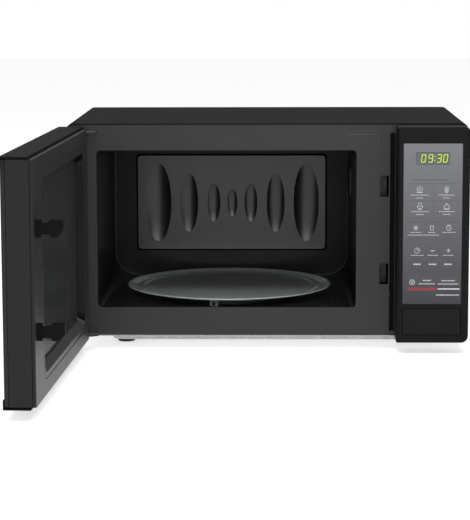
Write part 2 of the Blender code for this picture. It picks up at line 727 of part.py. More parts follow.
def build_magnetron(oven, looks):
    centre_y, centre_z = PORT_FRONT + PORT_LENGTH / 2, PORT_BOTTOM + PORT_HEIGHT / 2
    duct_left, duct_right = BAY_LEFT, BAY_LEFT + 20 * MM
    sheet = 1 * MM
    low = (duct_left, PORT_FRONT - 5 * MM, PORT_BOTTOM - 5 * MM)
    high = (duct_right, PORT_FRONT + PORT_LENGTH + 5 * MM, PORT_BOTTOM + PORT_HEIGHT + 5 * MM)
    duct = piece("waveguide", box(low, high), looks["zinc"], oven)
    hollow = box(
        (low[0] - sheet, low[1] + sheet, low[2] + sheet),
        (high[0] - sheet, high[1] - sheet, high[2] - sheet),
    )
    antenna = 9 * MM
    axis = (centre_y, centre_z)
    cut(duct, hollow)
    cut(duct, rod((duct_right - 3 * sheet, *axis), (duct_right + 2 * sheet, *axis), antenna + 2 * MM, 20))

    yoke_left, yoke_right = duct_right + GAP, duct_right + 62 * MM
    half = 36 * MM
    low, high = (yoke_left, centre_y - half, centre_z - half), (
        yoke_right, centre_y + half, centre_z + half
    )
    yoke = piece("magnetron_yoke", box(low, high), looks["zinc"], oven)
    wall = 2 * MM
    cut(
        yoke,
        box((low[0] + wall, low[1] - wall, low[2] + wall), (high[0] - wall, high[1] + wall, high[2] - wall))
    )
    cut(yoke, rod((low[0] - wall, *axis), (low[0] + 2 * wall, *axis), antenna + 1 * MM, 20))

    core_left, core_right = yoke_left + wall + GAP, yoke_right - wall - GAP
    core = piece(
        "magnetron_anode", rod((core_left, *axis), (core_right, *axis), 18 * MM, 20), looks["copper"], oven
    )
    join(core, rod((duct_left + 5 * MM, *axis), (core_left + 2 * MM, *axis), antenna - 1 * MM, 16))
    fin = half - wall - 1 * MM
    for number in range(5):
        x = core_left + 10 * MM + 9 * MM * number
        join(core, box((x, centre_y - fin, centre_z - fin), (x + 1.2 * MM, centre_y + fin, centre_z + fin)))

    cap_z = centre_z + half + GAP
    disc = turned((
        (0, cap_z), (8 * MM, cap_z), (8 * MM, cap_z + 4 * MM), (4 * MM, cap_z + 6 * MM), (0, cap_z + 6 * MM)
    ),
                  (yoke_left + 30 * MM, centre_y, 0), "Z", 16)
    piece("thermal_cutout", disc, looks["black_plastic"], oven)


def build_power(oven, looks):
    floor = PAN_FLOOR + SHEET + GAP
    centre_x, front = BAY_CENTRE_X, HOOK_REACH + 36 * MM
    stack, half_width, height, limb = 57 * MM, 42 * MM, 72 * MM, 14 * MM
    middle = front + stack / 2
    core = piece(
        "transformer_core",
        box((centre_x - half_width, front, floor), (centre_x + half_width, front + stack, floor + height)),
        looks["steel"],
        oven,
    )
    window = limb
    windows = [
        box(
            (centre_x + side * (limb + window / 2) - window / 2, front - limb, floor + limb),
            (
                centre_x + side * (limb + window / 2) + window / 2, front + stack + limb,
                floor + height - limb
            ),
        )
        for side in (-1, 1)
    ]
    cut(core, *windows)
    ring_inner = ((centre_x - limb - GAP, front - GAP), (centre_x + limb + GAP, front + stack + GAP))
    wound = window - 2 * GAP
    heights = (
        ("primary_winding", limb + GAP, limb + 15 * MM),
        ("secondary_winding", limb + 17 * MM, height - limb - GAP)
    )
    for name, low, high in heights:
        profile = ((0, floor + low), (0, floor + high), (-wound, floor + high), (-wound, floor + low))
        winding = rimmed(*ring_inner, [LEAST_RADIUS] * 4, profile, "Z", closed=True)
        piece(name, winding, looks["copper"], oven, (centre_x, middle, floor + low))

    can_low, can_high = (centre_x - 30 * MM, floor), (centre_x + 24 * MM, floor + 34 * MM)
    can_front = front + stack + wound + 8 * MM
    can = prism(rounded_rect(can_low, can_high, [16.5 * MM] * 4), can_front, can_front + 92 * MM, "Y")
    capacitor = piece("high_voltage_capacitor", can, looks["aluminium"], oven)
    for side in (-1, 1):
        x = (can_low[0] + can_high[0]) / 2 + side * 10 * MM
        tab = box(
            (x - 3 * MM, can_front - 7 * MM, floor + 14 * MM),
            (x + 3 * MM, can_front + 1 * MM, floor + 20 * MM)
        )
        join(capacitor, tab)

    board_x = BAY_RIGHT - 12 * MM
    low = (board_x, REAR_FACE - 60 * MM, PLATE_BOTTOM + 2 * MM)
    high = (board_x + 1.6 * MM, REAR_FACE - 8 * MM, floor + 75 * MM)
    board = piece("filter_board", box(low, high), looks["circuit_board"], oven)
    join(
        board,
        box(
            (low[0] - 12 * MM, low[1] + 6 * MM, low[2] + 6 * MM),
            (low[0] + 0.8 * MM, low[1] + 24 * MM, low[2] + 26 * MM)
        )
    )
    join(
        board,
        box(
            (low[0] - 7 * MM, low[1] + 8 * MM, low[2] + 36 * MM),
            (low[0] + 0.8 * MM, low[1] + 38 * MM, low[2] + 43 * MM)
        )
    )

    shroud_y = PORT_FRONT + PORT_LENGTH / 2 + 36 * MM + 4 * MM
    low = (BAY_LEFT + 22 * MM, shroud_y, FAN_Z - 50 * MM)
    high = (BAY_RIGHT - 1 * MM, shroud_y + 1.5 * MM, FAN_Z + 50 * MM)
    shroud = piece("fan_shroud", box(low, high), looks["black_plastic"], oven)
    collar = ((FAN_RADIUS + 2 * MM, shroud_y + 0.7 * MM), (FAN_RADIUS + 4 * MM, shroud_y + 0.7 * MM),
              (FAN_RADIUS + 4 * MM, shroud_y + 12 * MM), (FAN_RADIUS + 2 * MM, shroud_y + 12 * MM))
    cut(
        shroud,
        rod(
            (FAN_X, shroud_y - 5 * MM, FAN_Z), (FAN_X, shroud_y + 5 * MM, FAN_Z), FAN_RADIUS + 2.2 * MM,
            ROUND_SIDES
        )
    )
    join(shroud, turned(collar, (FAN_X, 0, FAN_Z), "Y", ROUND_SIDES))

    fan_y = shroud_y + 3 * MM
    fan_axis = frame_at("fan_axis", (FAN_X, fan_y, FAN_Z), oven)
    hub_end = fan_y + 12 * MM
    half_chord = 15 * MM
    blade_tip = (FAN_RADIUS**2 - half_chord**2) ** 0.5
    fan = piece(
        "cooling_fan", rod((FAN_X, fan_y, FAN_Z), (FAN_X, hub_end, FAN_Z), 11 * MM, 16),
        looks["white_plastic"], fan_axis
    )
    for number in range(5):
        blade = box((8 * MM, -1 * MM, -half_chord), (blade_tip, 1 * MM, half_chord))
        for vert in blade.verts:
            vert.co.z *= 0.45 + 0.55 * vert.co.x / blade_tip
        pitch = Matrix.Rotation(radians(18), 4, "X")
        around = Matrix.Rotation(2 * pi * number / 5, 4, "Y")
        place = Matrix.Translation((FAN_X, fan_y + 6 * MM, FAN_Z))
        bmesh.ops.transform(blade, matrix=place @ around @ pitch, verts=blade.verts)
        join(fan, blade)

    motor_y = hub_end + 1 * MM
    low, high = (FAN_X - 28 * MM, motor_y, FAN_Z - 14 * MM), (
        FAN_X + 28 * MM, REAR_FACE - 1 * MM, FAN_Z + 14 * MM
    )
    motor = piece("fan_motor", box(low, high), looks["steel"], oven)
    join(
        motor,
        box(
            (FAN_X + 12 * MM, motor_y + 0.5 * MM, FAN_Z - 19 * MM),
            (FAN_X + 26 * MM, REAR_FACE - 1.5 * MM, FAN_Z + 19 * MM)
        )
    )

    lamp = (BAY_LEFT + 18 * MM, 70 * MM, CAVITY_CEILING - 30 * MM)
    bracket = box(
        (BAY_LEFT, lamp[1] - 14 * MM, lamp[2] - 14 * MM),
        (BAY_LEFT + 4 * MM, lamp[1] + 14 * MM, lamp[2] + 14 * MM)
    )
    holder = piece("lamp_holder", bracket, looks["white_plastic"], oven, lamp)
    join(
        holder,
        rod((BAY_LEFT + 2 * MM, lamp[1], lamp[2]), (BAY_LEFT + 12 * MM, lamp[1], lamp[2]), 9 * MM, 16)
    )
    bulb = (
        (0, 0), (6 * MM, 0), (6 * MM, 5 * MM), (10 * MM, 12 * MM), (10 * MM, 20 * MM), (6 * MM, 26 * MM),
        (0, 28 * MM)
    )
    foot = (BAY_LEFT + 12 * MM + GAP, lamp[1], lamp[2])
    piece("cavity_lamp", turned(bulb, foot, "X", 16), looks["bulb_glass"], oven, foot)


# Controls and latch

def build_controls(oven, looks):
    left, right, front = PANEL_LEFT, CABINET_WIDTH, -PANEL_DEPTH
    low, high = (left, PANEL_BOTTOM), (right, PANEL_TOP)
    round_off, wall, back = PANEL_EDGE, PANEL_WALL, -WRAP_LIP - GAP
    profile = (
        (round_off, front), (round_off * 0.3, front + round_off * 0.3), (0, front + round_off),
        (0, back), (wall, back), (wall, front + wall),
    )
    housing = piece(
        "control_housing", rimmed(low, high, (2.5 * MM, 8 * MM, 6 * MM, 2 * MM), profile, "Y"),
        looks["panel_plastic"], oven
    )
    key_left, key_top = left + KEYPAD_SIDE, KEYPAD_TOP
    key_low, key_high = (key_left, KEYPAD_BOTTOM), (key_left + KEYPAD_WIDTH, key_top)
    corner = [1.5 * MM] * 4
    sink = KEYPAD_SHEET + GAP
    cut(
        housing,
        prism(rounded_rect(key_low, key_high, corner), front - 1 * MM, front + sink - KEYPAD_PROUD, "Y")
    )
    lens_low = (key_left + LENS_SIDE, key_top - LENS_DROP - LENS_HEIGHT)
    lens_high = (lens_low[0] + LENS_WIDTH, lens_low[1] + LENS_HEIGHT)
    cut(
        housing,
        prism(rounded_rect(lens_low, lens_high, corner, -GAP), front - 1 * MM, front + 2 * wall, "Y")
    )
    button_low = (key_left, BUTTON_BOTTOM)
    button_high = (key_left + KEYPAD_WIDTH, BUTTON_BOTTOM + BUTTON_HEIGHT)
    cut(
        housing, prism(rounded_rect(button_low, button_high, corner), front - 1 * MM, front + 2 * wall, "Y")
    )

    face = front - KEYPAD_PROUD
    overlay = piece(
        "keypad_overlay", prism(
            rounded_rect(key_low, key_high, corner, GAP), face, face + KEYPAD_SHEET, "Y"
        ), looks["keypad_film"], oven
    )
    cut(overlay, prism(rounded_rect(lens_low, lens_high, corner, -GAP), face - 1 * MM, face + 1 * MM, "Y"))
    lens_back = front + wall + 0.4 * MM
    piece(
        "display_lens", prism(rounded_rect(lens_low, lens_high, corner), face, lens_back, "Y"),
        looks["smoked_lens"], oven
    )

    board_y = front + 16 * MM
    board = box(
        (left + 6 * MM, board_y, BUTTON_BOTTOM + BUTTON_HEIGHT + 14 * MM),
        (right - 6 * MM, board_y + 1.6 * MM, PANEL_TOP - 11 * MM)
    )
    piece("control_board", board, looks["circuit_board"], oven)
    display = box(
        (lens_low[0] - 2 * MM, lens_back + GAP, lens_low[1] - 3 * MM),
        (lens_high[0] + 2 * MM, board_y - GAP, lens_high[1] + 3 * MM),
    )
    piece("display_module", display, looks["display_green"], oven)

    button_home = (STEM_X, front, STEM_Z)
    cap = rimmed(button_low, button_high, corner, (
        (BUTTON_GAP + 0.6 * MM, face), (BUTTON_GAP, face + 0.6 * MM), (BUTTON_GAP, front + 9 * MM),
        (BUTTON_GAP + 1.6 * MM, front + 9 * MM), (BUTTON_GAP + 1.6 * MM, front + 2 * MM),
    ), "Y")
    button = piece("door_open_button", cap, looks["button_plastic"], oven, button_home)
    stem_end = LEVER_Y - LEVER_RADIUS - 0.5 * MM
    join(
        button,
        box(
            (STEM_X - 2.5 * MM, front + 1 * MM, STEM_Z - 2.5 * MM),
            (STEM_X + 2.5 * MM, stem_end, STEM_Z + 2.5 * MM)
        )
    )
    spring_x = (button_low[0] + button_high[0]) / 2 + 6 * MM
    spring_z = BUTTON_BOTTOM + BUTTON_HEIGHT / 2
    coil(
        "button_spring", (spring_x, front + 3 * MM, spring_z), (spring_x, -1 * MM, spring_z), 4 * MM,
        0.45 * MM, 5, looks["steel"], oven
    )


def build_interlock(oven, looks):
    """The bracket behind the latch slots, its switches, and the lever that the button tips."""
    left, right, cheek = SLOT_LEFT - 8 * MM, SLOT_LEFT + SLOT_WIDTH + 5 * MM, 2 * MM
    front, back = SHEET + GAP, HOOK_REACH + 18 * MM
    low, high = (left, front, 30 * MM), (right, back, 212 * MM)
    bracket = piece("latch_bracket", box(low, high), looks["black_plastic"], oven)
    cut(
        bracket,
        box((left + cheek, front - cheek, low[2] - cheek), (right - cheek, back - cheek, high[2] + cheek))
    )
    bore = hole_radius(LEVER_RADIUS, 16)
    cut(bracket, rod((left - cheek, LEVER_Y, LEVER_Z), (right + cheek, LEVER_Y, LEVER_Z), bore, 16))

    switch_x = SLOT_LEFT - 1 * MM
    places = (
        ("upper", SLOT_BOTTOMS[1] - 2 * MM), ("middle", sum(SLOT_BOTTOMS) / 2),
        ("lower", SLOT_BOTTOMS[0] - 2 * MM)
    )
    for name, bottom in places:
        front_y = HOOK_REACH + 2.5 * MM
        body = box(
            (switch_x, front_y, bottom), (switch_x + 10.3 * MM, back - cheek - GAP, bottom + 27.8 * MM)
        )
        switch = piece(f"microswitch_{name}", body, looks["black_plastic"], oven)
        join(switch, box(
            (switch_x + 3 * MM, front_y - 1.5 * MM, bottom + 12 * MM), (
                switch_x + 6 * MM, front_y + 1 * MM, bottom + 16 * MM
            )
        ))

    pivot = (STEM_X, LEVER_Y, LEVER_Z)
    lever = piece(
        "door_open_lever", rod(
            (left - 1 * MM, LEVER_Y, LEVER_Z), (STEM_X + 3 * MM, LEVER_Y, LEVER_Z), LEVER_RADIUS, 16
        ), looks["white_plastic"], oven, pivot
    )
    arm = 2.5 * MM
    join(
        lever,
        box(
            (STEM_X - arm, LEVER_Y - LEVER_RADIUS, STEM_Z - 4 * MM),
            (STEM_X + arm, LEVER_Y + LEVER_RADIUS, LEVER_Z)
        )
    )
    lift = prism(
        [
            (LEVER_Y - 2 * MM, LEVER_Z), (LEVER_Y + 2 * MM, LEVER_Z - 2 * MM),
            (LEVER_Y + 17 * MM, LEVER_Z + 9 * MM), (LEVER_Y + 13 * MM, LEVER_Z + 11 * MM)
        ],
        SLOT_LEFT + 1 * MM, SLOT_LEFT + 6 * MM, "X",
    )
    join(lever, lift)


# Door

def build_hinges(oven, looks):
    """Two brackets on the front plate, each with an eye round the door's pin."""
    axis = (HINGE_SIDE, -HINGE_FORWARD)
    root = BRACKET_ROOT
    for name, low, tab_low, tab_high in (
        ("upper", UPPER_BRACKET, UPPER_BRACKET - 8 * MM, UPPER_BRACKET + BRACKET_SHEET),
        ("lower", LOWER_BRACKET, LOWER_BRACKET, LOWER_BRACKET + 8 * MM),
    ):
        eye = [
            (axis[0] + BRACKET_EYE * cos(radians(angle)), axis[1] + BRACKET_EYE * sin(radians(angle)))
            for angle in range(150, 340, 20)
        ]
        outline = eye + [(root[1], -8 * MM), (root[1], -GAP), (root[0], -GAP)]
        bracket = piece(
            f"hinge_bracket_{name}", prism(
                outline, low, low + BRACKET_SHEET, "Z"
            ), looks["zinc"], oven, (*axis, low)
        )
        join(bracket, box((root[0], -DOOR_CLEARANCE + GAP, tab_low), (root[1], -GAP, tab_high)))
        bore = hole_radius(PIN_RADIUS, 16)
        cut(bracket, rod((*axis, low - 2 * MM), (*axis, low + BRACKET_SHEET + 2 * MM), bore, 16))


def build_door(oven, looks):
    axis = (HINGE_SIDE, -HINGE_FORWARD, 0)
    door = frame_at("door_hinge_axis", axis, oven)
    door.rotation_euler.z = -radians(DOOR_OPEN_ANGLE)
    right, bottom, top = DOOR_RIGHT, DOOR_BOTTOM, DOOR_TOP
    front, back = DOOR_FRONT, -DOOR_CLEARANCE
    low, high = (0, bottom + CAP_SHEET + GAP), (right, top - CAP_SHEET - GAP)
    glass_back = front + GLASS_THICKNESS
    web_front = glass_back + GAP
    wall, web_sheet = FRAME_WALL, 2.3 * MM
    frame_back = back - COVER_SHEET - GAP

    rim = (
        (0, frame_back), (0, web_front), (FRAME_WEB, web_front), (FRAME_WEB, web_front + web_sheet),
        (wall, web_front + web_sheet), (wall, frame_back),
    )
    frame = piece(
        "door_frame", rimmed(low, high, [3 * MM] * 4, rim, "Y", closed=True), looks["door_plastic"], door
    )
    for plate_low in (LOWER_BRACKET, UPPER_BRACKET):
        cut(
            frame,
            box(
                (-3 * MM, front, plate_low - BRACKET_AIR),
                (wall + 1 * MM, back, plate_low + BRACKET_SHEET + BRACKET_AIR)
            )
        )

    glass_low, glass_high = (0.8 * MM, low[1] + 0.5 * MM), (right - 0.8 * MM, high[1] - 0.5 * MM)
    glass_profile = ((0.8 * MM, front), (0, front + 0.8 * MM), (0, glass_back))
    glass = rimmed(glass_low, glass_high, [3 * MM] * 4, glass_profile, "Y")
    piece("door_glass", glass, looks["black_glass"], door)

    lip_front = front - GAP - CAP_LIP_SHEET
    cap_back = back - CAP_SETBACK
    for name, edge, sign in (("top", top, 1), ("bottom", bottom, -1)):
        inner, tip = edge - sign * CAP_SHEET, edge - sign * CAP_LIP
        outline = [(lip_front, tip), (lip_front, edge - sign * 0.8 * MM), (lip_front + 0.8 * MM, edge)]
        outline += [(cap_back, edge), (cap_back, inner), (front - GAP, inner), (front - GAP, tip)]
        cap = prism(outline, -CAP_OVERHANG, right + CAP_OVERHANG, "X")
        piece(f"door_cap_{name}", cap, looks["door_plastic"], door)

    cover_left, cover_right = 8 * MM, right - 3.5 * MM
    cover_low, cover_high = (cover_left, low[1] + COVER_INSET), (cover_right, high[1] - COVER_INSET)
    cover = piece("choke_cover", rimmed(cover_low, cover_high, [4 * MM] * 4, (
        (0.6 * MM, back), (0, back - 0.6 * MM), (0, back - COVER_SHEET),
    ), "Y"), looks["choke_plastic"], door)
    window_low = (cover_left + WINDOW_SIDE, bottom + WINDOW_RISE)
    window_high = (cover_right - WINDOW_LATCH_SIDE, top - WINDOW_DROP)
    window = [WINDOW_RADIUS] * 4
    recess_end = back - WINDOW_RECESS
    cut(cover, prism(rounded_rect(window_low, window_high, window), recess_end, back + 2 * MM, "Y"))
    wall_ring = (
        (0, back - COVER_SHEET / 2), (0, recess_end), (-2 * MM, recess_end), (
            -2 * MM, back - COVER_SHEET / 2
        ),
    )
    join(
        cover,
        rimmed(
            window_low, window_high, window, [(inset - 0.01 * MM, y) for inset, y in wall_ring], "Y",
            closed=True
        )
    )
    hook_slots = [
        box(
            (HOOK_LEFT - 1 * MM, recess_end, low_z),
            (HOOK_LEFT + HOOK_THICKNESS + 1 * MM, back + 2 * MM, low_z + SLOT_HEIGHT)
        )
        for low_z in SLOT_BOTTOMS
    ]
    bracket_reliefs = [
        box(
            (0, recess_end, plate_low - BRACKET_AIR),
            (41 * MM, back + 2 * MM, plate_low + BRACKET_SHEET + BRACKET_AIR)
        )
        for plate_low in (LOWER_BRACKET, UPPER_BRACKET)
    ]
    cut(cover, *hook_slots)
    cut(cover, *bracket_reliefs)

    film_back = recess_end - GAP
    film_low, film_high = (window_low[0] - 3 * MM, window_low[1] - 3 * MM), (
        window_high[0] + 3 * MM, window_high[1] + 3 * MM
    )
    film = prism(rounded_rect(film_low, film_high, window), film_back - 0.4 * MM, film_back, "Y")
    piece("window_film", film, looks["window_film"], door)

    panel_front = film_back - 0.4 * MM - GAP
    panel_low = (7 * MM, LOWER_BRACKET + 8 * MM)
    panel_high = (HOOK_LEFT - 8 * MM, UPPER_BRACKET - 4 * MM)
    flange = 5 * MM
    panel_profile = (
        (1 * MM, panel_front), (1 * MM, panel_front + flange), (0, panel_front + flange), (
            0, panel_front - 1 * MM
        ),
    )
    piece(
        "door_screen", rimmed(panel_low, panel_high, [3 * MM] * 4, panel_profile, "Y"), looks["zinc"], door
    )

    block_back = panel_front - 1 * MM - GAP
    for name, base, tip, sign in (
        ("upper", UPPER_BRACKET - 4 * MM, UPPER_BRACKET + BRACKET_SHEET + 0.5 * MM, -1),
        ("lower", LOWER_BRACKET + BRACKET_SHEET + 4 * MM, LOWER_BRACKET - 0.2 * MM, 1),
    ):
        pin = piece(
            f"hinge_pin_{name}", rod((*axis[:2], base), (*axis[:2], tip), PIN_RADIUS, 16), looks["steel"],
            door, (*axis[:2], tip)
        )
        low_z, high_z = sorted((base - sign * 0.5 * MM, base + sign * 11 * MM))
        join(
            pin,
            box(
                (HINGE_SIDE - 5 * MM, -HINGE_FORWARD - 4 * MM, low_z),
                (HINGE_SIDE + 9 * MM, block_back, high_z)
            )
        )

    latch_home = (HOOK_LEFT, -14 * MM, SLOT_BOTTOMS[0])
    spine_low, spine_high = SLOT_BOTTOMS[0] - 6 * MM, SLOT_BOTTOMS[1] + SLOT_HEIGHT + 4 * MM
    spine_front = web_front + web_sheet + 3 * MM
    spine = box(
        (HOOK_LEFT, spine_front, spine_low), (HOOK_LEFT + HOOK_THICKNESS, recess_end - GAP, spine_high)
    )
    latch = piece("latch_hooks", spine, looks["black_plastic"], door, latch_home)
    for slot_low in SLOT_BOTTOMS:
        barb_low, barb_high = slot_low + 2 * MM, slot_low + SLOT_HEIGHT - LATCH_TRAVEL - 1 * MM
        root_y, tip_y = recess_end - 2 * MM, HOOK_REACH
        outline = [
            (root_y, barb_low), (4 * MM, barb_low), (4 * MM, barb_low + 3 * MM), (
                13 * MM, barb_low + 3 * MM
            ),
            (13 * MM, barb_low), (tip_y - 6 * MM, barb_low), (tip_y, barb_low + 7 * MM), (
                tip_y, barb_high - 2 * MM
            ),
            (tip_y - 2 * MM, barb_high), (13 * MM, barb_high), (11 * MM, barb_high - 3 * MM), (
                4 * MM, barb_high - 3 * MM
            ),
            (4 * MM, barb_high), (root_y, barb_high),
        ]
        join(latch, prism(outline, HOOK_LEFT, HOOK_LEFT + HOOK_THICKNESS, "X"))
    spring_x, spring_y = HOOK_LEFT + HOOK_THICKNESS / 2, (spine_front + recess_end) / 2
    coil(
        "latch_spring", (spring_x, spring_y, spine_high + GAP + 1 * MM), (
            spring_x, spring_y, high[1] - wall - 2 * MM
        ),
        3 * MM, 0.4 * MM, 6, looks["steel"], door,
    )


def colours():
    return {
        "black_paint": finish("black_paint", (47, 47, 47), 0.45),
        "charcoal_paint": finish("charcoal_paint", (62, 62, 62), 0.5),
        "zinc": finish("zinc", (176, 176, 176), 0.4, 0.8),
        "steel": finish("steel", (120, 120, 124), 0.35, 1.0),
        "copper": finish("copper", (165, 92, 52), 0.4, 0.9),
        "aluminium": finish("aluminium", (190, 190, 192), 0.35, 1.0),
        "rubber": finish("rubber", (24, 24, 24), 0.8),
        "black_plastic": finish("black_plastic", (26, 26, 26), 0.5),
        "white_plastic": finish("white_plastic", (215, 213, 205), 0.5),
        "mica": finish("mica", (120, 110, 92), 0.6),
        "tray_glass": finish("tray_glass", (60, 66, 62), 0.08),
        "bulb_glass": finish("bulb_glass", (225, 225, 220), 0.1),
        "circuit_board": finish("circuit_board", (36, 92, 58), 0.5),
        "panel_plastic": finish("panel_plastic", (30, 30, 30), 0.3),
        "button_plastic": finish("button_plastic", (35, 35, 35), 0.3),
        "keypad_film": finish("keypad_film", (98, 100, 104), 0.35),
        "smoked_lens": finish("smoked_lens", (34, 38, 30), 0.1),
        "display_green": finish("display_green", (60, 72, 40), 0.4),
        "door_plastic": finish("door_plastic", (46, 46, 46), 0.45),
        "choke_plastic": finish("choke_plastic", (64, 64, 64), 0.5),
        "black_glass": finish("black_glass", (8, 8, 8), 0.05),
        "window_film": finish("window_film", (20, 20, 20), 0.08),
    }


def stand_at_origin(oven):
    """Moves the whole oven so that the bottom centre of its box is at the origin."""
    bpy.context.view_layer.update()
    graph = bpy.context.evaluated_depsgraph_get()
    points = []
    for obj in bpy.data.objects:
        if obj.type == "EMPTY" or obj.hide_render:
            continue
        evaluated = obj.evaluated_get(graph)
        points += [evaluated.matrix_world @ vert.co for vert in evaluated.to_mesh().vertices]
        evaluated.to_mesh_clear()
    lowest = [min(point[axis] for point in points) for axis in range(3)]
    highest = [max(point[axis] for point in points) for axis in range(3)]
    oven.location = (-(lowest[0] + highest[0]) / 2, -(lowest[1] + highest[1]) / 2, -lowest[2])
    bpy.context.view_layer.update()


def main():
    for obj in list(bpy.data.objects):
        bpy.data.objects.remove(obj)
    looks = colours()
    oven = frame_at("oven_frame", (0, 0, 0))
    build_cabinet(oven, looks)
    build_cavity(oven, looks)
    build_turntable(oven, looks)
    build_magnetron(oven, looks)
    build_power(oven, looks)
    build_controls(oven, looks)
    build_interlock(oven, looks)
    build_hinges(oven, looks)
    build_door(oven, looks)
    stand_at_origin(oven)
    print("oven frame moved by", *(round(value, 5) for value in oven.location))


main()
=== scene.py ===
# %% [markdown]
# # A countertop microwave oven with its door open
# The oven is a folded steel box around a painted cavity, with a moulded control panel on the right
# and a glazed door on the left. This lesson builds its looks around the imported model, piece by piece,
# with Blender's own modelling operators, and gives every piece a finish made from shader nodes.

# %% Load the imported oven
import json
from math import cos, pi, radians, sin
from random import Random

import bmesh
import bpy
from mathutils import Matrix, Vector

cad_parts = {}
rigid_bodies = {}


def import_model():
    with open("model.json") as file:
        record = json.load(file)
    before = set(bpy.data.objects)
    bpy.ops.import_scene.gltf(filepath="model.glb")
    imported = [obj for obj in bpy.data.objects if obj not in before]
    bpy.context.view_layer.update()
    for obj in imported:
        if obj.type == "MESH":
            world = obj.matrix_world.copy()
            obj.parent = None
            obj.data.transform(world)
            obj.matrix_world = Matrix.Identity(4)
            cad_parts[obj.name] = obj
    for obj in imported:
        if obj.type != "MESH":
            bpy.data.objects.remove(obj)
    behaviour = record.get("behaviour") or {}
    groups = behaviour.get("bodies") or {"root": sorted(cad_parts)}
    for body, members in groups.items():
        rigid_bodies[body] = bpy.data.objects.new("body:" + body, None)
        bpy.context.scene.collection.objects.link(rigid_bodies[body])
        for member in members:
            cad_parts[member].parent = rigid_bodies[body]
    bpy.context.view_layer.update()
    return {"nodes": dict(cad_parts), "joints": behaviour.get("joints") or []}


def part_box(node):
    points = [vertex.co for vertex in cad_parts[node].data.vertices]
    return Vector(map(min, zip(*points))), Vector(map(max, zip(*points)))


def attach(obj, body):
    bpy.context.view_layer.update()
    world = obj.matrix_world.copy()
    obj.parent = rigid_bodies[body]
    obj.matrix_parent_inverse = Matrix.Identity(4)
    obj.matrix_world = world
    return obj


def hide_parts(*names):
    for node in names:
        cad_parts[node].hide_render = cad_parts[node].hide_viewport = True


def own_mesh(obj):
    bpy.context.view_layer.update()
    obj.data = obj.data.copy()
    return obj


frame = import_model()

MM = 0.001

# %% [markdown]
# ## Places
# The oven has a frame of its own: X from the cabinet's left side, Y from the front plate towards the
# back, Z up from the counter. Measuring from the cabinet and the front plate keeps each detail in its
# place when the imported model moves. The door is modelled shut, in the same frame, and then swung open
# about its hinge, because a shut door is square with everything else and so is simpler to shape.

# %% The oven's own frame
X, Y, Z = 0, 1, 2
CORNER = Vector((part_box("cabinet_wrap")[0].x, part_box("front_flange")[0].y, 0))
HINGE = next(joint for joint in frame["joints"] if joint["name"] == "door_swing")
SWING = -radians(HINGE["range_deg"][1])
PIN = Vector(HINGE["pos_m"])
OPEN = Matrix.Translation(PIN) @ Matrix.Rotation(SWING, 4, "Z") @ Matrix.Translation(-PIN)


def at(x, y, z):
    """A place in the oven's own frame, in millimetres, as a place in the scene."""
    return CORNER + Vector((x, y, z)) * MM


def span(node, shut=False):
    """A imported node's lowest and highest corners in the oven's own frame, in millimetres."""
    turn = OPEN.inverted() if shut else Matrix()
    points = [(turn @ vert.co - CORNER) / MM for vert in frame["nodes"][node].data.vertices]
    return [Vector([pick(point[axis] for point in points) for axis in range(3)]) for pick in (min, max)]


print("cabinet corner:", [round(value, 4) for value in CORNER], "door turned", round(SWING, 4), "radians")

# %% [markdown]
# ## Modelling helpers
# Almost every piece of an oven is a folded sheet, a moulded box or a turned disc. Each starts as a
# primitive of the right size in the right place, and is then shaped in edit mode. The helpers below
# name the few moves that come back all the time: select by place, round some edges, cut a hole.

# %% Select by place
def alone(obj):
    """Selects one object and makes it the active one."""
    bpy.ops.object.select_all(action="DESELECT")
    obj.select_set(True)
    bpy.context.view_layer.objects.active = obj


def mode(name):
    bpy.ops.object.mode_set(mode=name)


def choose(kind, test):
    """In edit mode, selects the corners, edges or faces that pass a test."""
    bpy.ops.mesh.select_mode(type=kind)
    bpy.ops.mesh.select_all(action="DESELECT")
    mesh = bmesh.from_edit_mesh(bpy.context.object.data)
    for part in {"VERT": mesh.verts, "EDGE": mesh.edges, "FACE": mesh.faces}[kind]:
        if test(part):
            part.select_set(True)
    bmesh.update_edit_mesh(bpy.context.object.data)


def middle(edge):
    return (edge.verts[0].co + edge.verts[1].co) / 2


def runs_along(edge, axis):
    return abs((edge.verts[0].co - edge.verts[1].co).normalized()[axis]) > 0.9


# %% [markdown]
# A box between two corners is the start of every panel. Rounding only the edges that run along one axis
# gives the section of a folded or moulded panel, while its other edges stay sharp for later.

# %% Boxes with rounded edges
def block(low, high):
    """A box between two places of the oven's own frame."""
    low, high = at(*low), at(*high)
    bpy.ops.object.select_all(action="DESELECT")
    bpy.ops.mesh.primitive_cube_add(size=1, location=(low + high) / 2, scale=high - low)
    bpy.ops.object.transform_apply(location=True, rotation=True, scale=True)
    return bpy.context.object


def slab(low, high, axis, radius, steps=6, where=None):
    """A box whose edges along one axis are rounded, all of them or those that pass a test."""
    obj = block(low, high)
    mode("EDIT")
    choose("EDGE", lambda edge: runs_along(edge, axis)
           and (where is None or where((middle(edge) - CORNER) / MM)))
    bpy.ops.mesh.bevel(offset=radius * MM, segments=steps, affect="EDGES")
    mode("OBJECT")
    return obj


# %% [markdown]
# Holes are cut with a second solid and a Boolean modifier, as a press cuts sheet. No real edge is
# perfectly sharp, so a narrow Bevel modifier then rounds what is left: that is what catches the light.

# %% Cut and ease
def carve(obj, *tools, way="DIFFERENCE"):
    """Cuts tools out of a piece, or joins them to it."""
    for tool in tools:
        alone(obj)
        cut = obj.modifiers.new("cut", "BOOLEAN")
        cut.operation, cut.object, cut.solver = way, tool, "EXACT"
        bpy.ops.object.modifier_apply(modifier=cut.name)
        bpy.data.objects.remove(tool)
    return obj


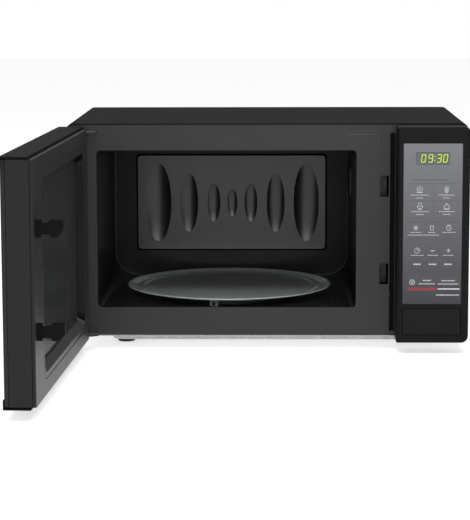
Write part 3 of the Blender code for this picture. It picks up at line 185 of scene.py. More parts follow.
def ease(obj, width, steps=2, angle=30):
    """Rounds the sharp edges of a piece by a width in millimetres."""
    alone(obj)
    bevel = obj.modifiers.new("ease", "BEVEL")
    bevel.width, bevel.segments = width * MM, steps
    bevel.limit_method, bevel.angle_limit = "ANGLE", radians(angle)
    bevel.use_clamp_overlap = True
    bpy.ops.object.modifier_apply(modifier=bevel.name)
    return obj


# %% [markdown]
# Round parts are turned. A circle at the first corner of the profile is extruded and resized to each
# next corner in turn, which leaves clean rings of faces and needs no modifier.

# %% Turned parts
def lathe(profile, centre, sides=64):
    """A disc or ring whose (radius, height) corners are extruded in turn, up from its underside."""
    radius, height = profile[0]
    bpy.ops.object.select_all(action="DESELECT")
    bpy.ops.mesh.primitive_circle_add(
        vertices=sides, radius=radius * MM, fill_type="NGON", location=(0, 0, height * MM)
    )
    obj = bpy.context.object
    bpy.ops.object.transform_apply(location=True, rotation=True, scale=True)
    mode("EDIT")
    bpy.ops.mesh.select_all(action="SELECT")
    for wider, higher in profile[1:]:
        bpy.ops.mesh.extrude_region_move(TRANSFORM_OT_translate={"value": (0, 0, (higher - height) * MM)})
        bpy.ops.transform.resize(
            value=(wider / radius, wider / radius, 1), center_override=(0, 0, higher * MM)
        )
        radius, height = wider, higher
    mode("OBJECT")
    obj.location = at(*centre)
    bpy.ops.object.transform_apply(location=True, rotation=True, scale=True)
    return obj


# %% [markdown]
# The last helpers join pieces, copy a imported part so that it can be refined, and finish a piece: its
# faces are turned outwards, its shading is evened, it is painted and tied to its body, and the imported
# nodes it replaces are hidden.

# %% Join, copy and finish
def together(objs):
    """Joins pieces into one object, each still a closed body."""
    bpy.ops.object.select_all(action="DESELECT")
    for obj in objs:
        obj.select_set(True)
    bpy.context.view_layer.objects.active = objs[0]
    bpy.ops.object.join()
    return objs[0]


def copy_of(node):
    """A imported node's own mesh, welded and with its flat triangles dissolved, ready to be refined."""
    source = frame["nodes"][node]
    obj = bpy.data.objects.new(node + "_copy", source.data.copy())
    bpy.context.scene.collection.objects.link(obj)
    alone(obj)
    mode("EDIT")
    bpy.ops.mesh.select_all(action="SELECT")
    bpy.ops.mesh.remove_doubles(threshold=1e-6)
    bpy.ops.mesh.dissolve_limited(angle_limit=radians(0.5))
    mode("OBJECT")
    return obj


def done(obj, name, body, slot, look, *nodes, opened=False, angle=32):
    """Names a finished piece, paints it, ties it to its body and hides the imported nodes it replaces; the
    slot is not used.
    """
    obj.name = obj.data.name = name
    alone(obj)
    if opened:
        obj.data.transform(OPEN)
    mode("EDIT")
    bpy.ops.mesh.select_all(action="SELECT")
    bpy.ops.mesh.normals_make_consistent(inside=False)
    mode("OBJECT")
    bpy.ops.object.shade_smooth_by_angle(angle=radians(angle))
    even = obj.modifiers.new("even shading", "WEIGHTED_NORMAL")
    even.keep_sharp = True
    bpy.ops.object.modifier_apply(modifier=even.name)
    obj.data.materials.clear()
    for paint in look if isinstance(look, list) else [look]:
        obj.data.materials.append(paint)
    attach(obj, body)
    if nodes:
        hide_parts(*nodes)
    print(f"{name}: {len(obj.data.polygons)} faces on {body}")
    return obj


# %% [markdown]
# ## Finishes
# Painted steel is never perfectly smooth: powder paint leaves a fine orange-peel skin and its gloss
# wanders a little. Moulded plastic has a finer, drier grain. One function makes both from noise in
# object coordinates, so that the grain stays on the piece when it moves; glass, zinc, the printed
# keypad and the perforated screen get their own recipes.

# %% Shader helpers
def linear(level):
    return level / 12.92 if level <= 0.04045 else ((level + 0.055) / 1.055) ** 2.4


def colour(*levels):
    """Screen levels from 0 to 255 as the linear colour that shaders take."""
    levels = levels * 3 if len(levels) == 1 else levels
    return (*(linear(level / 255) for level in levels), 1)


def blank(name):
    """A new material with its Principled shader, and a function that adds and wires nodes."""
    made = bpy.data.materials.new(name)
    made.use_nodes = True
    tree = made.node_tree
    shader = next(node for node in tree.nodes if node.type == "BSDF_PRINCIPLED")

    def add(kind, inputs=(), **settings):
        node = tree.nodes.new("ShaderNode" + kind)
        for key, value in settings.items():
            setattr(node, key, value)
        for key, value in dict(inputs).items():
            if isinstance(value, bpy.types.NodeSocket):
                tree.links.new(value, node.inputs[key])
            else:
                node.inputs[key].default_value = value
        return node

    def join(socket, value):
        if isinstance(value, bpy.types.NodeSocket):
            tree.links.new(value, shader.inputs[socket])
        else:
            shader.inputs[socket].default_value = value

    return made, shader, add, join


def ramp(add, fac, *stops):
    """A colour ramp through (position, colour) stops."""
    node = add("ValToRGB", {"Fac": fac})
    elements = node.color_ramp.elements
    while len(elements) < len(stops):
        elements.new(0.5)
    for element, (position, value) in zip(elements, stops):
        element.position, element.color = position, value
    return node.outputs["Color"]


# %% [markdown]
# The recipe for paint and plastic has two noises. A broad one lets the colour wander, as thickness and
# handling do on a real surface. A fine one is the grain: it drives both the roughness and the bump.

# %% Paint and plastic
WANDER = 0.12


def skin(name, level, roughness, grain=1400, depth=0.12, metal=0.0, gloss=0.5, coat=0.0):
    """Painted metal or moulded plastic, with a grain of so many waves in a metre."""
    made, shader, add, join = blank(name)
    place = add("TexCoord").outputs["Object"]
    broad = add("TexNoise", {"Vector": place, "Scale": 9, "Detail": 3, "Roughness": 0.55}).outputs["Fac"]
    fine = add("TexNoise", {"Vector": place, "Scale": grain, "Detail": 2, "Roughness": 0.6}).outputs["Fac"]
    base = colour(*level) if isinstance(level, tuple) else colour(level)
    darker, lighter = ((*(channel * (1 + side * WANDER) for channel in base[:3]), 1) for side in (-1, 1))
    join("Base Color", ramp(add, broad, (0.3, darker), (0.7, lighter)))
    rough = add("MapRange", {"Value": fine, "From Min": 0.3, "From Max": 0.7,
                             "To Min": roughness * 0.88, "To Max": roughness * 1.12})
    join("Roughness", rough.outputs["Result"])
    bump = add("Bump", {"Height": fine, "Strength": depth, "Distance": 0.0002})
    join("Normal", bump.outputs["Normal"])
    join("Metallic", metal)
    join("Specular IOR Level", gloss)
    join("Coat Weight", coat)
    join("Coat Roughness", 0.06)
    return made


# %% [markdown]
# Each finish is one line: its name, its level or colour, its roughness and its grain, then how deep the
# grain is and how strongly it shines. The oven is nearly all black, so what tells its parts apart is
# their gloss: dull powder paint, satin plastic, smooth enamel and polished glass.

# %% Paints, plastics and metals
LOOKS = {
    "cover": skin("cabinet powder paint", 19, 0.62, 1600, 0.25, gloss=0.06),
    "front": skin("front plate paint", 39, 0.5, 1500, 0.16, gloss=0.3),
    "cavity": skin("cavity enamel", 26, 0.28, 900, 0.03, gloss=0.09),
    "emboss": skin("back wall enamel", 20, 0.24, 900, 0.02, gloss=0.42),
    # pale paint for the back wall's seam, the pressed line and the door's ledge: a painted highlight
    "seam": skin("seam paint", 72, 0.35, 900, 0.1),
    "panel": skin("control panel plastic", 12, 0.42, 2200, 0.08, gloss=0.1),
    "button": skin("button plastic", 11, 0.4, 2200, 0.08, gloss=0.13),
    "door": skin("door plastic", 16, 0.55, 2000, 0.16, gloss=0.06),
    "inner": skin("inner cover plastic", 38, 0.42, 2000, 0.12, gloss=0.3),
    "recess": skin("window surround plastic", 12, 0.2, 1200, 0.04, gloss=0.1),
    "hook": skin("latch plastic", 5, 0.5, 1800, 0.1, gloss=0.08),
    # near-black for the side channel and the latch holder: painted shade in their gap and slots
    "shade": skin("black channel rubber", 6, 0.8, 1500, 0.1, gloss=0.1),
    "black": skin("black plastic", 26, 0.45, 1800, 0.12),
    "smoke": skin("smoked plastic", 34, 0.35, 1600, 0.08),
    "wheel": skin("wheel plastic", (150, 150, 146), 0.35, 1600, 0.08),
    "white": skin("white plastic", (212, 208, 198), 0.42, 1600, 0.1),
    "rubber": skin("foot rubber", 24, 0.75, 1200, 0.25, gloss=0.25),
    "bracket": skin("hinge steel", 150, 0.38, 1300, 0.1, metal=0.7),
    "steel": skin("spring steel", 150, 0.3, 1600, 0.08, metal=1.0),
    "laminate": skin("transformer laminations", 96, 0.45, 700, 0.4, metal=0.8),
    "copper": skin("enamelled copper", (176, 92, 48), 0.32, 900, 0.35, metal=0.9),
    "can": skin("capacitor can", 196, 0.3, 1100, 0.1, metal=1.0),
    "board": skin("circuit board", (30, 92, 54), 0.4, 1200, 0.2, coat=0.4),
    "mica": skin("mica sheet", (58, 54, 46), 0.45, 260, 0.3),
}
print("finishes:", ", ".join(LOOKS))

# %% [markdown]
# The back and the inner brackets are zinc-coated sheet. Its zinc freezes in large flat crystals, so the
# pattern comes from Voronoi cells: each has its own grey and its own gloss, with sharp borders.

# %% Galvanised sheet
def zinc(name, level):
    """Zinc-coated sheet: large flat crystals, each with its own grey and its own gloss."""
    made, shader, add, join = blank(name)
    place = add("TexCoord").outputs["Object"]
    cells = add("TexVoronoi", {"Vector": place, "Scale": 190}, feature="F1").outputs["Color"]
    grey = add("RGBToBW", {"Color": cells}).outputs["Val"]
    join("Base Color", ramp(add, grey, (0.2, colour(level - 8)), (0.8, colour(level + 8))))
    join("Roughness", add("MapRange", {"Value": grey, "To Min": 0.34, "To Max": 0.52}).outputs["Result"])
    fine = add("TexNoise", {"Vector": place, "Scale": 1500, "Detail": 2}).outputs["Fac"]
    join("Normal", add("Bump", {"Height": fine, "Strength": 0.1, "Distance": 0.0002}).outputs["Normal"])
    join("Metallic", 0.55)
    return made


LOOKS["zinc"] = zinc("galvanised sheet", 160)


# %% [markdown]
# Clear parts let light through, and a faint smear in their roughness keeps them from looking empty. The
# black door glass is printed on its inner side, so it is made as a glossy black skin.

# %% Glass and films
def glass(name, level, roughness, clear=1.0, bend=1.5, gloss=0.5):
    """A clear part: how much light passes, how much it bends, and how strongly the surface shines."""
    made, shader, add, join = blank(name)
    place = add("TexCoord").outputs["Object"]
    smear = add("TexNoise", {"Vector": place, "Scale": 30, "Detail": 4}).outputs["Fac"]
    join("Base Color", colour(*level))
    join(
        "Roughness",
        add("MapRange", {"Value": smear, "To Min": roughness, "To Max": roughness * 2.5}).outputs["Result"]
    )
    join("Transmission Weight", clear)
    join("IOR", bend)
    join("Specular IOR Level", gloss)
    return made


LOOKS["lamp"] = glass("lamp glass", (240, 238, 228), 0.05)
LOOKS["film"] = glass("window film", (128, 130, 130), 0.05, 0.9, 1.04, 0.3)
LOOKS["pane"] = skin("black door glass", 6, 0.08, 400, 0.01, gloss=0.28)


# %% [markdown]
# The tray's pressed glass is faintly green, and is painted paler and less clear towards the rim: a painted
# highlight for the glow along its rim. Distance from the tray's centre, measured in object coordinates,
# drives both its colour and its clearness.

# %% Turntable glass
def tray_look():
    made, shader, add, join = blank("turntable glass")
    low, high = span("glass_tray")
    centre = at(*((low + high) / 2))
    place = add(
        "Mapping",
        {"Vector": add("TexCoord").outputs["Object"], "Location": (-centre.x, -centre.y, -centre.z)}
    )
    flat = add("VectorMath", {0: place.outputs["Vector"], 1: (1, 1, 0)}, operation="MULTIPLY").outputs[0]
    radius = add("VectorMath", {0: flat}, operation="LENGTH").outputs["Value"]
    rim = add("MapRange", {"Value": radius, "From Min": 0.03, "From Max": 0.122}).outputs["Result"]
    join(
        # paler and less clear towards the rim: a painted highlight for the rim's glow
        "Base Color",
        ramp(
            add, rim, (0.0, colour(188, 198, 192)), (0.72, colour(206, 216, 211)),
            (1.0, colour(240, 248, 244))
        )
    )
    clear = add(
        "MapRange", {"Value": rim, "From Min": 0.6, "To Min": 0.76, "To Max": 0.56}
    ).outputs["Result"]
    join("Transmission Weight", clear)
    smear = add(
        "TexNoise", {"Vector": add("TexCoord").outputs["Object"], "Scale": 30, "Detail": 4}
    ).outputs["Fac"]
    join("Roughness", add("MapRange", {"Value": smear, "To Min": 0.08, "To Max": 0.15}).outputs["Result"])
    join("IOR", 1.5)
    return made


# %% [markdown]
# The keypad's film is printed grey at the top and fades evenly to charcoal at the bottom. The height on
# the film drives a two-stop ramp, and a very fine bump stands for the film's matt surface.

# %% Keypad film
def keypad_look():
    made, shader, add, join = blank("keypad film")
    low, high = span("keypad_overlay")
    place = add("SeparateXYZ", {"Vector": add("TexCoord").outputs["Object"]}).outputs["Z"]
    fade = add(
        "MapRange", {"Value": place, "From Min": low.z * MM, "From Max": high.z * MM}
    ).outputs["Result"]
    join("Base Color", ramp(add, fade, (0.0, colour(47, 48, 52)), (1.0, colour(109, 110, 113))))
    fine = add(
        "TexNoise", {"Vector": add("TexCoord").outputs["Object"], "Scale": 2600, "Detail": 2}
    ).outputs["Fac"]
    join("Normal", add("Bump", {"Height": fine, "Strength": 0.05, "Distance": 0.0001}).outputs["Normal"])
    join("Roughness", 0.38)
    join("Specular IOR Level", 0.3)
    return made


# %% [markdown]
# The door's steel screen has a close grid of small round holes. There are thousands, too many to cut, so
# the pattern folds the surface into equal squares and draws a dark, sunk disc in each one. The edge of
# the door has a fine moulded grid, made in the same way with a square instead of a disc.

# %% Screen holes and moulded grid
def folded_axis(add, place, axis, half_pitch):
    """Distance from the nearest line of a grid, along one axis."""
    axes = add("SeparateXYZ", {"Vector": place})
    return add("Math", {0: axes.outputs[axis], 1: half_pitch}, operation="PINGPONG").outputs[0]


def holes_look():
    made, shader, add, join = blank("perforated screen")
    place = add(
        "Mapping", {"Vector": add("TexCoord").outputs["Object"], "Rotation": (0, 0, -SWING)}
    ).outputs["Vector"]
    pitch = 2.2 * MM
    squares = []
    for axis in "XZ":
        folded = folded_axis(add, place, axis, pitch / 2)
        squares.append(add("Math", {0: folded, 1: folded}, operation="MULTIPLY").outputs[0])
    distance = add("Math", {0: squares[0], 1: squares[1]}, operation="ADD").outputs[0]
    edge = {"Value": distance, "From Min": (0.72 * MM) ** 2, "From Max": (0.9 * MM) ** 2}
    hole = add("MapRange", edge).outputs["Result"]
    join("Base Color", ramp(add, hole, (0.0, colour(6)), (1.0, colour(66))))
    join("Roughness", 0.6)
    join("Specular IOR Level", 0.0)
    join("Normal", add("Bump", {"Height": hole, "Strength": 0.6, "Distance": 0.0004}).outputs["Normal"])
    return made


def weave_look():
    made, shader, add, join = blank("grid-textured door plastic")
    place = add("TexCoord").outputs["Object"]
    half_pitch = 0.7 * MM
    heights = []
    for axis in "XZ":
        folded = folded_axis(add, place, axis, half_pitch)
        heights.append(add("MapRange", {"Value": folded, "From Max": half_pitch}).outputs["Result"])
    grid = add("Math", {0: heights[0], 1: heights[1]}, operation="MULTIPLY").outputs[0]
    join("Base Color", ramp(add, grid, (0.0, colour(17)), (1.0, colour(31))))
    join("Roughness", add("MapRange", {"Value": grid, "To Min": 0.5, "To Max": 0.4}).outputs["Result"])
    join("Normal", add("Bump", {"Height": grid, "Strength": 0.3, "Distance": 0.0003}).outputs["Normal"])
    join("Specular IOR Level", 0.2)
    return made


# %% [markdown]
# Printed ink is a thin, even film with tiny specks. The display's digits use the same ink with a little
# light of their own.

# %% Inks
def ink(name, level, glow=0.0):
    """A printed ink of one colour, with a glow for the display."""
    made, shader, add, join = blank(name)
    speck = add(
        "TexNoise", {"Vector": add("TexCoord").outputs["Object"], "Scale": 900, "Detail": 2}
    ).outputs["Fac"]
    base = colour(*level)
    join("Base Color", ramp(add, speck, (0.3, (*(value * 0.9 for value in base[:3]), 1)), (0.7, base)))
    join("Roughness", 0.5)
    if glow:
        join("Emission Color", base)
        join("Emission Strength", glow)
    return made


LOOKS.update(
    tray=tray_look(),
    keypad=keypad_look(),
    holes=holes_look(),
    weave=weave_look(),
    lens=skin("display window", (92, 93, 97), 0.2, 400, 0.02, gloss=0.3),
    digits=ink("display digits", (168, 196, 48), 0.45),
    digit_shade=ink("digit shadow", (62, 70, 44)),
    print_light=ink("light print", (184, 185, 190)),
    print_dark=ink("dark print", (62, 63, 66)),
    print_red=ink("red print", (132, 30, 46)),
    print_white=ink("white print", (214, 214, 216)),
    key_band=ink("stop and start keys", (62, 60, 63)),
)
print("finishes now:", len(LOOKS))

# %% [markdown]
# ## The cabinet
# The cover is one steel sheet folded over the top and both sides. A box with its two upper edges
# rounded, its bottom and ends deleted and a Solidify modifier gives the true sheet with no joints.
# The vents are one rounded slot, repeated by an Array and cut out in one go.

# %% Cabinet cover
SHEET = 1
MID_HEIGHT = 100


def vent_slots(low, high, step, count, rows=1, row_step=0.0):
    """A bank of slots: one slot, repeated along the cabinet's depth and then upwards."""
    slot = slab(low, high, X, 1.4, 4)
    for repeats, offset in ((count, (0, step * MM, 0)), (rows, (0, 0, row_step * MM))):
        array = slot.modifiers.new("repeat", "ARRAY")
        array.count, array.use_relative_offset, array.use_constant_offset = repeats, False, True
        array.constant_offset_displace = offset
        bpy.ops.object.modifier_apply(modifier=array.name)
    return slot


wrap_low, wrap_high = span("cabinet_wrap")
cover = slab(wrap_low, wrap_high, Y, 7, 10, lambda spot: spot.z > MID_HEIGHT)
mode("EDIT")
choose("FACE", lambda face: abs(face.normal.y) > 0.9 or face.normal.z < -0.9)
bpy.ops.mesh.delete(type="FACE")
mode("OBJECT")
fold = cover.modifiers.new("sheet", "SOLIDIFY")
fold.thickness, fold.offset, fold.use_even_offset = SHEET * MM, -1, True
bpy.ops.object.modifier_apply(modifier=fold.name)
back = wrap_high.y
carve(
    cover,
    vent_slots((wrap_high.x - 3, back - 100, 150), (wrap_high.x + 3, back - 97, 170), 8, 9, 2, 28),
    vent_slots((-3, 40, 190), (3, 43, 210), 8, 9),
)
ease(cover, 0.3)
done(cover, "cabinet_cover", "oven", "cabinet_paint", LOOKS["cover"], "cabinet_wrap")

# %% [markdown]
# The front plate is a flat sheet with the cavity's mouth cut in it. Its cut edge is rolled, which is
# why a thin bright line runs round the mouth: a small bevel on the edge gives the same line.

# %% Front plate
CAVITY_LEFT, CAVITY_RIGHT = 33.5, 329.2
MOUTH_BOTTOM, MOUTH_TOP = 48, span("cavity_shell")[1].z - SHEET
OPENINGS = {  # left, bottom, right, top, corner radius
    "lower latch slot": (355.9, 75, 365.9, 99, 0.6),
    "upper latch slot": (355.9, 175.5, 365.9, 199.5, 0.6),
    "wiring window behind the keypad": (389.5, 77, 439, 227, 2),
    "hole behind the door button": (381.5, 31, 391.5, 41, 1),
    "channel beside the panel": (367.3, 21, 372.9, 248, 0.8),
}
plate_low, plate_high = span("front_flange")
plate = slab(plate_low, plate_high, Y, 5.7, 8, lambda spot: spot.z > MID_HEIGHT)
mouth = slab((CAVITY_LEFT, -5, MOUTH_BOTTOM), (CAVITY_RIGHT, 9, MOUTH_TOP), Y, 4.5, 8)
cuts = [slab((left, -5, bottom), (right, 5, top), Y, radius, 3)
        for left, bottom, right, top, radius in OPENINGS.values()]
carve(plate, mouth, *cuts)
ease(plate, 0.45, 3)
done(plate, "front_plate", "oven", "enamel", LOOKS["front"], "front_flange")

# %% [markdown]
# A shallow line is pressed in the plate at its upper right, and turns down at its end. It is a curve with
# a round section, sunk in the plate so that only a sliver of it shows, and painted pale as a painted
# highlight along the pressing. The black channel beside the panel is a thin strip that lies in its slot,
# a little behind the plate's face, painted near-black as painted shade in the gap beside the panel.

# %% Pressed line and side channel
PRESSING = (
    (318, 246.5), (346, 246.5), (350, 246.2), (352.6, 244.6), (353.6, 241), (353.4, 232), (351.6, 227)
)
line = bpy.data.curves.new("pressed_line", "CURVE")
line.dimensions, line.bevel_depth, line.bevel_resolution = "3D", 0.35 * MM, 2
run = line.splines.new("POLY")
run.points.add(len(PRESSING) - 1)
for point, (x, z) in zip(run.points, PRESSING):
    point.co = (*at(x, 0.1, z), 1)
pressed = bpy.data.objects.new("pressed_line", line)
bpy.context.scene.collection.objects.link(pressed)
alone(pressed)
bpy.ops.object.convert(target="MESH")
# pale paint on the pressing: a painted highlight
done(bpy.context.object, "front_plate_pressing", "oven", "enamel", LOOKS["seam"])

# near-black strip in the slot beside the panel: painted shade in the gap
channel = slab((367.5, 0.75, 21.2), (372.7, 1.4, 247.8), Y, 0.6, 3)
ease(channel, 0.15)
done(channel, "panel_side_channel", "oven", "black_plastic", LOOKS["shade"])

# %% [markdown]
# ## The cavity
# The walls are drawn from one sheet: small corner radii at the mouth grow to large ones at the back.
# Three rounded outlines, bridged one to the next, give that change of shape. The floor has a shallow
# round recess in which the turntable's rollers run.

# %% Cavity walls
CAVITY_FLOOR, CAVITY_CEILING = 46, 228.4


def outline(y, lower_radius, upper_radius, out=0.0):
    """A rounded rectangle of the cavity's section at one depth, as a flat face."""
    low = at(CAVITY_LEFT - out, y, CAVITY_FLOOR - out)
    high = at(CAVITY_RIGHT + out, y, CAVITY_CEILING + out)
    bpy.ops.object.select_all(action="DESELECT")
    bpy.ops.mesh.primitive_plane_add(size=1, location=(low + high) / 2)
    obj = bpy.context.object
    obj.rotation_euler = (pi / 2, 0, 0)
    obj.scale = (high.x - low.x, high.z - low.z, 1)
    bpy.ops.object.transform_apply(location=True, rotation=True, scale=True)
    mode("EDIT")
    for level, radius in ((low.z, lower_radius), (high.z, upper_radius)):
        choose("VERT", lambda vert: abs(vert.co.z - level) < 0.02 * MM)
        bpy.ops.mesh.bevel(offset=radius * MM, offset_type="OFFSET", segments=10, affect="VERTICES")
    mode("OBJECT")
    return obj


walls = together([outline(1.5, 6, 6), outline(118, 10, 6), outline(262, 28, 6)])
mode("EDIT")
bpy.ops.mesh.select_mode(type="FACE")
bpy.ops.mesh.select_all(action="SELECT")
bpy.ops.mesh.delete(type="ONLY_FACE")
bpy.ops.mesh.select_mode(type="EDGE")
bpy.ops.mesh.select_all(action="SELECT")
bpy.ops.mesh.bridge_edge_loops()
bpy.ops.mesh.select_all(action="SELECT")
bpy.ops.mesh.normals_make_consistent(inside=False)
mode("OBJECT")
near_ceiling = at(0, 0, 220).z
upward = sum(face.normal.z for face in walls.data.polygons if face.center.z > near_ceiling)
sheet = walls.modifiers.new("sheet", "SOLIDIFY")
sheet.thickness, sheet.offset = SHEET * MM, 1 if upward > 0 else -1
bpy.ops.object.modifier_apply(modifier=sheet.name)
print("walls drawn out of", len(walls.data.polygons), "faces")

# %% [markdown]
# The recess is a turned dish that fills a round hole in the floor. Its profile goes up the outside,
# over the rim and down again inside, so that the dish is a closed body of sheet thickness. It is then
# joined to the walls. A port in the right wall lets the waves in from the duct behind it.

# %% Turntable recess and the feed port
TABLE = (181.35, 127.5, 0)
DISH = (
    (105, 40), (107, 40.3), (111, 44.6), (111, 46), (109.6, 46), (108.4, 45.4), (105.6, 41.7), (104, 41)
)
dish = lathe(DISH, TABLE, sides=128)
shaft_hole = lathe(((4.6, 38), (4.6, 43)), TABLE, sides=32)
carve(dish, shaft_hole)
floor_hole = lathe(((110, 42), (110, 50)), TABLE, sides=128)
feed_port = slab((326, 160, 162), (333, 244, 188), X, 3)
carve(walls, floor_hole, feed_port)
carve(walls, dish, way="UNION")
ease(walls, 0.3, 2, 50)
done(walls, "cavity_walls", "oven", "enamel", LOOKS["cavity"], "cavity_shell")

# %% [markdown]
# ## The back wall
# The cavity's back is a pressed sheet: a shallow raised panel with seven oval hollows that stiffen it
# and scatter the reflections. The panel's front is a little smaller than its back, so its sides slope
# as on drawn sheet. The hollows grow taller and wider from the centre outwards.

# %% Back wall
back_low, back_high = span("cavity_back")
BOSS_FRONT = back_low.y
BOSS_WIDTH, BOSS_HEIGHT, BOSS_TAPER, BOSS_Z = 246, 127.5, 8, 139.25
wall = slab(
    (back_low.x, back_high.y - SHEET, back_low.z), back_high, Y, 26, 12, lambda spot: spot.z < MID_HEIGHT
)
boss = slab((58.4, BOSS_FRONT, 75.5), (304.3, 266, 203), Y, 5, 6)
mode("EDIT")
choose("VERT", lambda vert: vert.co.y < at(0, BOSS_FRONT + 1, 0).y)
narrower = (1 - BOSS_TAPER / BOSS_WIDTH, 1, 1 - BOSS_TAPER / BOSS_HEIGHT)
bpy.ops.transform.resize(value=narrower, center_override=at(181.35, BOSS_FRONT, BOSS_Z))
mode("OBJECT")
carve(wall, boss, way="UNION")


# %% [markdown]
# A unit sphere that is sunk by a fifth of its radius cuts a circle with a radius of 0.6. Stretched to an
# oval, that gives a shallow hollow of exactly the width and height wanted, with a gloss like a spoon's.

# %% Oval hollows
CAP_DEPTH, CAP_HALF = 0.2, 0.6
HOLLOWS_X = 182.35
OVALS = ((0, 6.4, 17.8), (23.5, 8.3, 24.3), (55, 11.7, 37.9), (93.8, 16.5, 50.3))


def hollow(offset, half_width, half_height):
    """A stretched sphere whose cap leaves a shallow oval of the given half sizes."""
    deep = 0.19 * half_width
    bpy.ops.object.select_all(action="DESELECT")
    bpy.ops.mesh.primitive_uv_sphere_add(segments=96, ring_count=96, radius=MM)
    ball = bpy.context.object
    ball.scale = (half_width / CAP_HALF, deep / CAP_DEPTH, half_height / CAP_HALF)
    ball.location = at(HOLLOWS_X + offset, BOSS_FRONT - (1 - CAP_DEPTH) * deep / CAP_DEPTH, BOSS_Z)
    bpy.ops.object.transform_apply(location=True, rotation=True, scale=True)
    return ball


for offset, half_width, half_height in OVALS:
    for side in ((1, -1) if offset else (1,)):
        carve(wall, hollow(side * offset, half_width, half_height))
ease(wall, 0.35, 2, 28)
done(wall, "cavity_back_wall", "oven", "enamel", [LOOKS["cavity"], LOOKS["emboss"]], "cavity_back")
for face in wall.data.polygons:
    spot = (face.center - CORNER) / MM
    raised = 57.5 < spot.x < 305 and 75 < spot.z < 204 and spot.y < back_high.y - 1.05
    face.material_index = 1 if raised else 0
print("oval hollows:", 2 * len(OVALS) - 1)

# %% [markdown]
# A bright line runs round the back wall where its edge is rolled over the walls. It is the outline of
# the walls at that depth, turned into a thin round wire and painted pale: a painted highlight along the
# bend.

# %% Rolled seam, with a painted highlight
seam = outline(261.4, 28, 6, -0.2)
mode("EDIT")
bpy.ops.mesh.select_all(action="SELECT")
bpy.ops.mesh.delete(type="ONLY_FACE")
mode("OBJECT")
bpy.ops.object.convert(target="CURVE")
seam = bpy.context.object
seam.data.bevel_depth, seam.data.bevel_resolution = 0.55 * MM, 3
bpy.ops.object.convert(target="MESH")
# the wire's pale paint is a painted highlight
done(bpy.context.object, "rolled_seam", "oven", "enamel", LOOKS["seam"])

# %% [markdown]
# ## The turntable
# The tray is pressed glass, turned in one profile from the underside out to the rim and back across
# the top. The lugs under its centre, which the drive's arms push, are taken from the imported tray, so
# that they still fit the arms.

# %% Glass tray
TRAY = (
    (86, 51), (98, 51), (106, 51.5), (114.5, 53.4), (120.2, 54.8), (122.3, 55.7), (122.5, 56.3),
    (122.1, 56.8), (121.2, 57), (119, 56.9), (114.5, 55.6), (110.5, 54.6), (108.4, 54.3), (106.6, 55),
    (103.6, 55), (101.6, 54.1), (99, 54), (60, 54),
)
tray = lathe(TRAY, TABLE, sides=160)
lugs = copy_of("glass_tray")
mode("EDIT")
bpy.ops.mesh.select_all(action="SELECT")
bpy.ops.mesh.bisect(plane_co=at(0, 0, 51.6), plane_no=(0, 0, 1), clear_outer=True, use_fill=True)
mode("OBJECT")
carve(tray, lugs, way="UNION")
ease(tray, 0.3, 2, 40)
done(tray, "turntable_glass", "tray", "tray_glass", LOOKS["tray"], "glass_tray", angle=40)

# %% [markdown]
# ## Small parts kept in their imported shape
# Springs, switches, brackets and wheels already have their true shape. Each is welded, its sharp edges
# are rounded a little so that they catch the light, and it gets its own finish.

# %% Refined small parts
def refined(node, name, look, width):
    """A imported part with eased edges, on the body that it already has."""
    source = frame["nodes"][node]
    obj = copy_of(node)
    if width:
        ease(obj, width, 2, 35)
    body = source.parent.name.removeprefix("body:")
    return done(obj, name, body, source.data.materials[0].name, look, node)


SMALL_PARTS = (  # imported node, piece, finish, width of the eased edge
    ("roller_ring", "roller_carrier", "smoke", 0.4),
    ("roller_1", "roller_wheel_1", "wheel", 0.3),
    ("roller_2", "roller_wheel_2", "wheel", 0.3),
    ("roller_3", "roller_wheel_3", "wheel", 0.3),
    ("drive_coupler", "turntable_driver", "smoke", 0.4),
    ("base_plate", "base_pan", "zinc", 0.35),
    ("rear_panel", "rear_cover", "zinc", 0.2),
    ("hinge_bracket_lower", "lower_hinge_plate", "bracket", 0.4),
    ("hinge_bracket_upper", "upper_hinge_plate", "bracket", 0.4),
    ("hinge_pin_lower", "lower_hinge_pin", "bracket", 0.3),
    ("hinge_pin_upper", "upper_hinge_pin", "bracket", 0.3),
    ("latch_hooks", "door_latch_hooks", "hook", 0.45),
    # the latch holder is painted near-black: painted shade in the latch slots
    ("latch_bracket", "latch_holder", "shade", 0.4),
    ("waveguide_cover", "mica_cover", "mica", 0.2),
    ("waveguide", "feed_duct", "zinc", 0.3),
    ("cover_screw_left", "rear_screw_left", "steel", 0.25),
    ("cover_screw_right", "rear_screw_right", "steel", 0.25),
    ("cord_gland", "cord_bush", "black", 0.4),
    ("door_open_button", "door_button", "button", 0.6),
    ("door_open_lever", "door_lever", "white", 0.4),
    ("door_screen", "door_choke_screen", "holes", 0.25),
    ("cavity_lamp", "oven_lamp", "lamp", 0.3),
    ("lamp_holder", "lamp_socket", "white", 0.4),
    ("cooling_fan", "fan_blades", "white", 0.2),
    ("fan_shroud", "fan_duct", "black", 0.4),
    ("fan_motor", "fan_drive", "laminate", 0.4),
    ("turntable_motor", "turntable_drive_motor", "zinc", 0.4),
    ("transformer_core", "transformer_laminations", "laminate", 0.5),
    ("primary_winding", "transformer_primary", "copper", 0.8),
    ("secondary_winding", "transformer_secondary", "copper", 0.8),
    ("high_voltage_capacitor", "capacitor_body", "can", 0.5),
    ("magnetron_yoke", "magnetron_frame", "zinc", 0.3),
    ("magnetron_anode", "magnetron_core", "copper", 0.15),
    ("microswitch_lower", "door_switch_lower", "black", 0.3),
    ("microswitch_middle", "door_switch_middle", "black", 0.3),
    ("microswitch_upper", "door_switch_upper", "black", 0.3),
    ("thermal_cutout", "thermal_switch", "black", 0.3),
    ("control_board", "control_circuit", "board", 0.15),
    ("filter_board", "filter_circuit", "board", 0.15),
    ("display_module", "display_block", "black", 0.3),
)
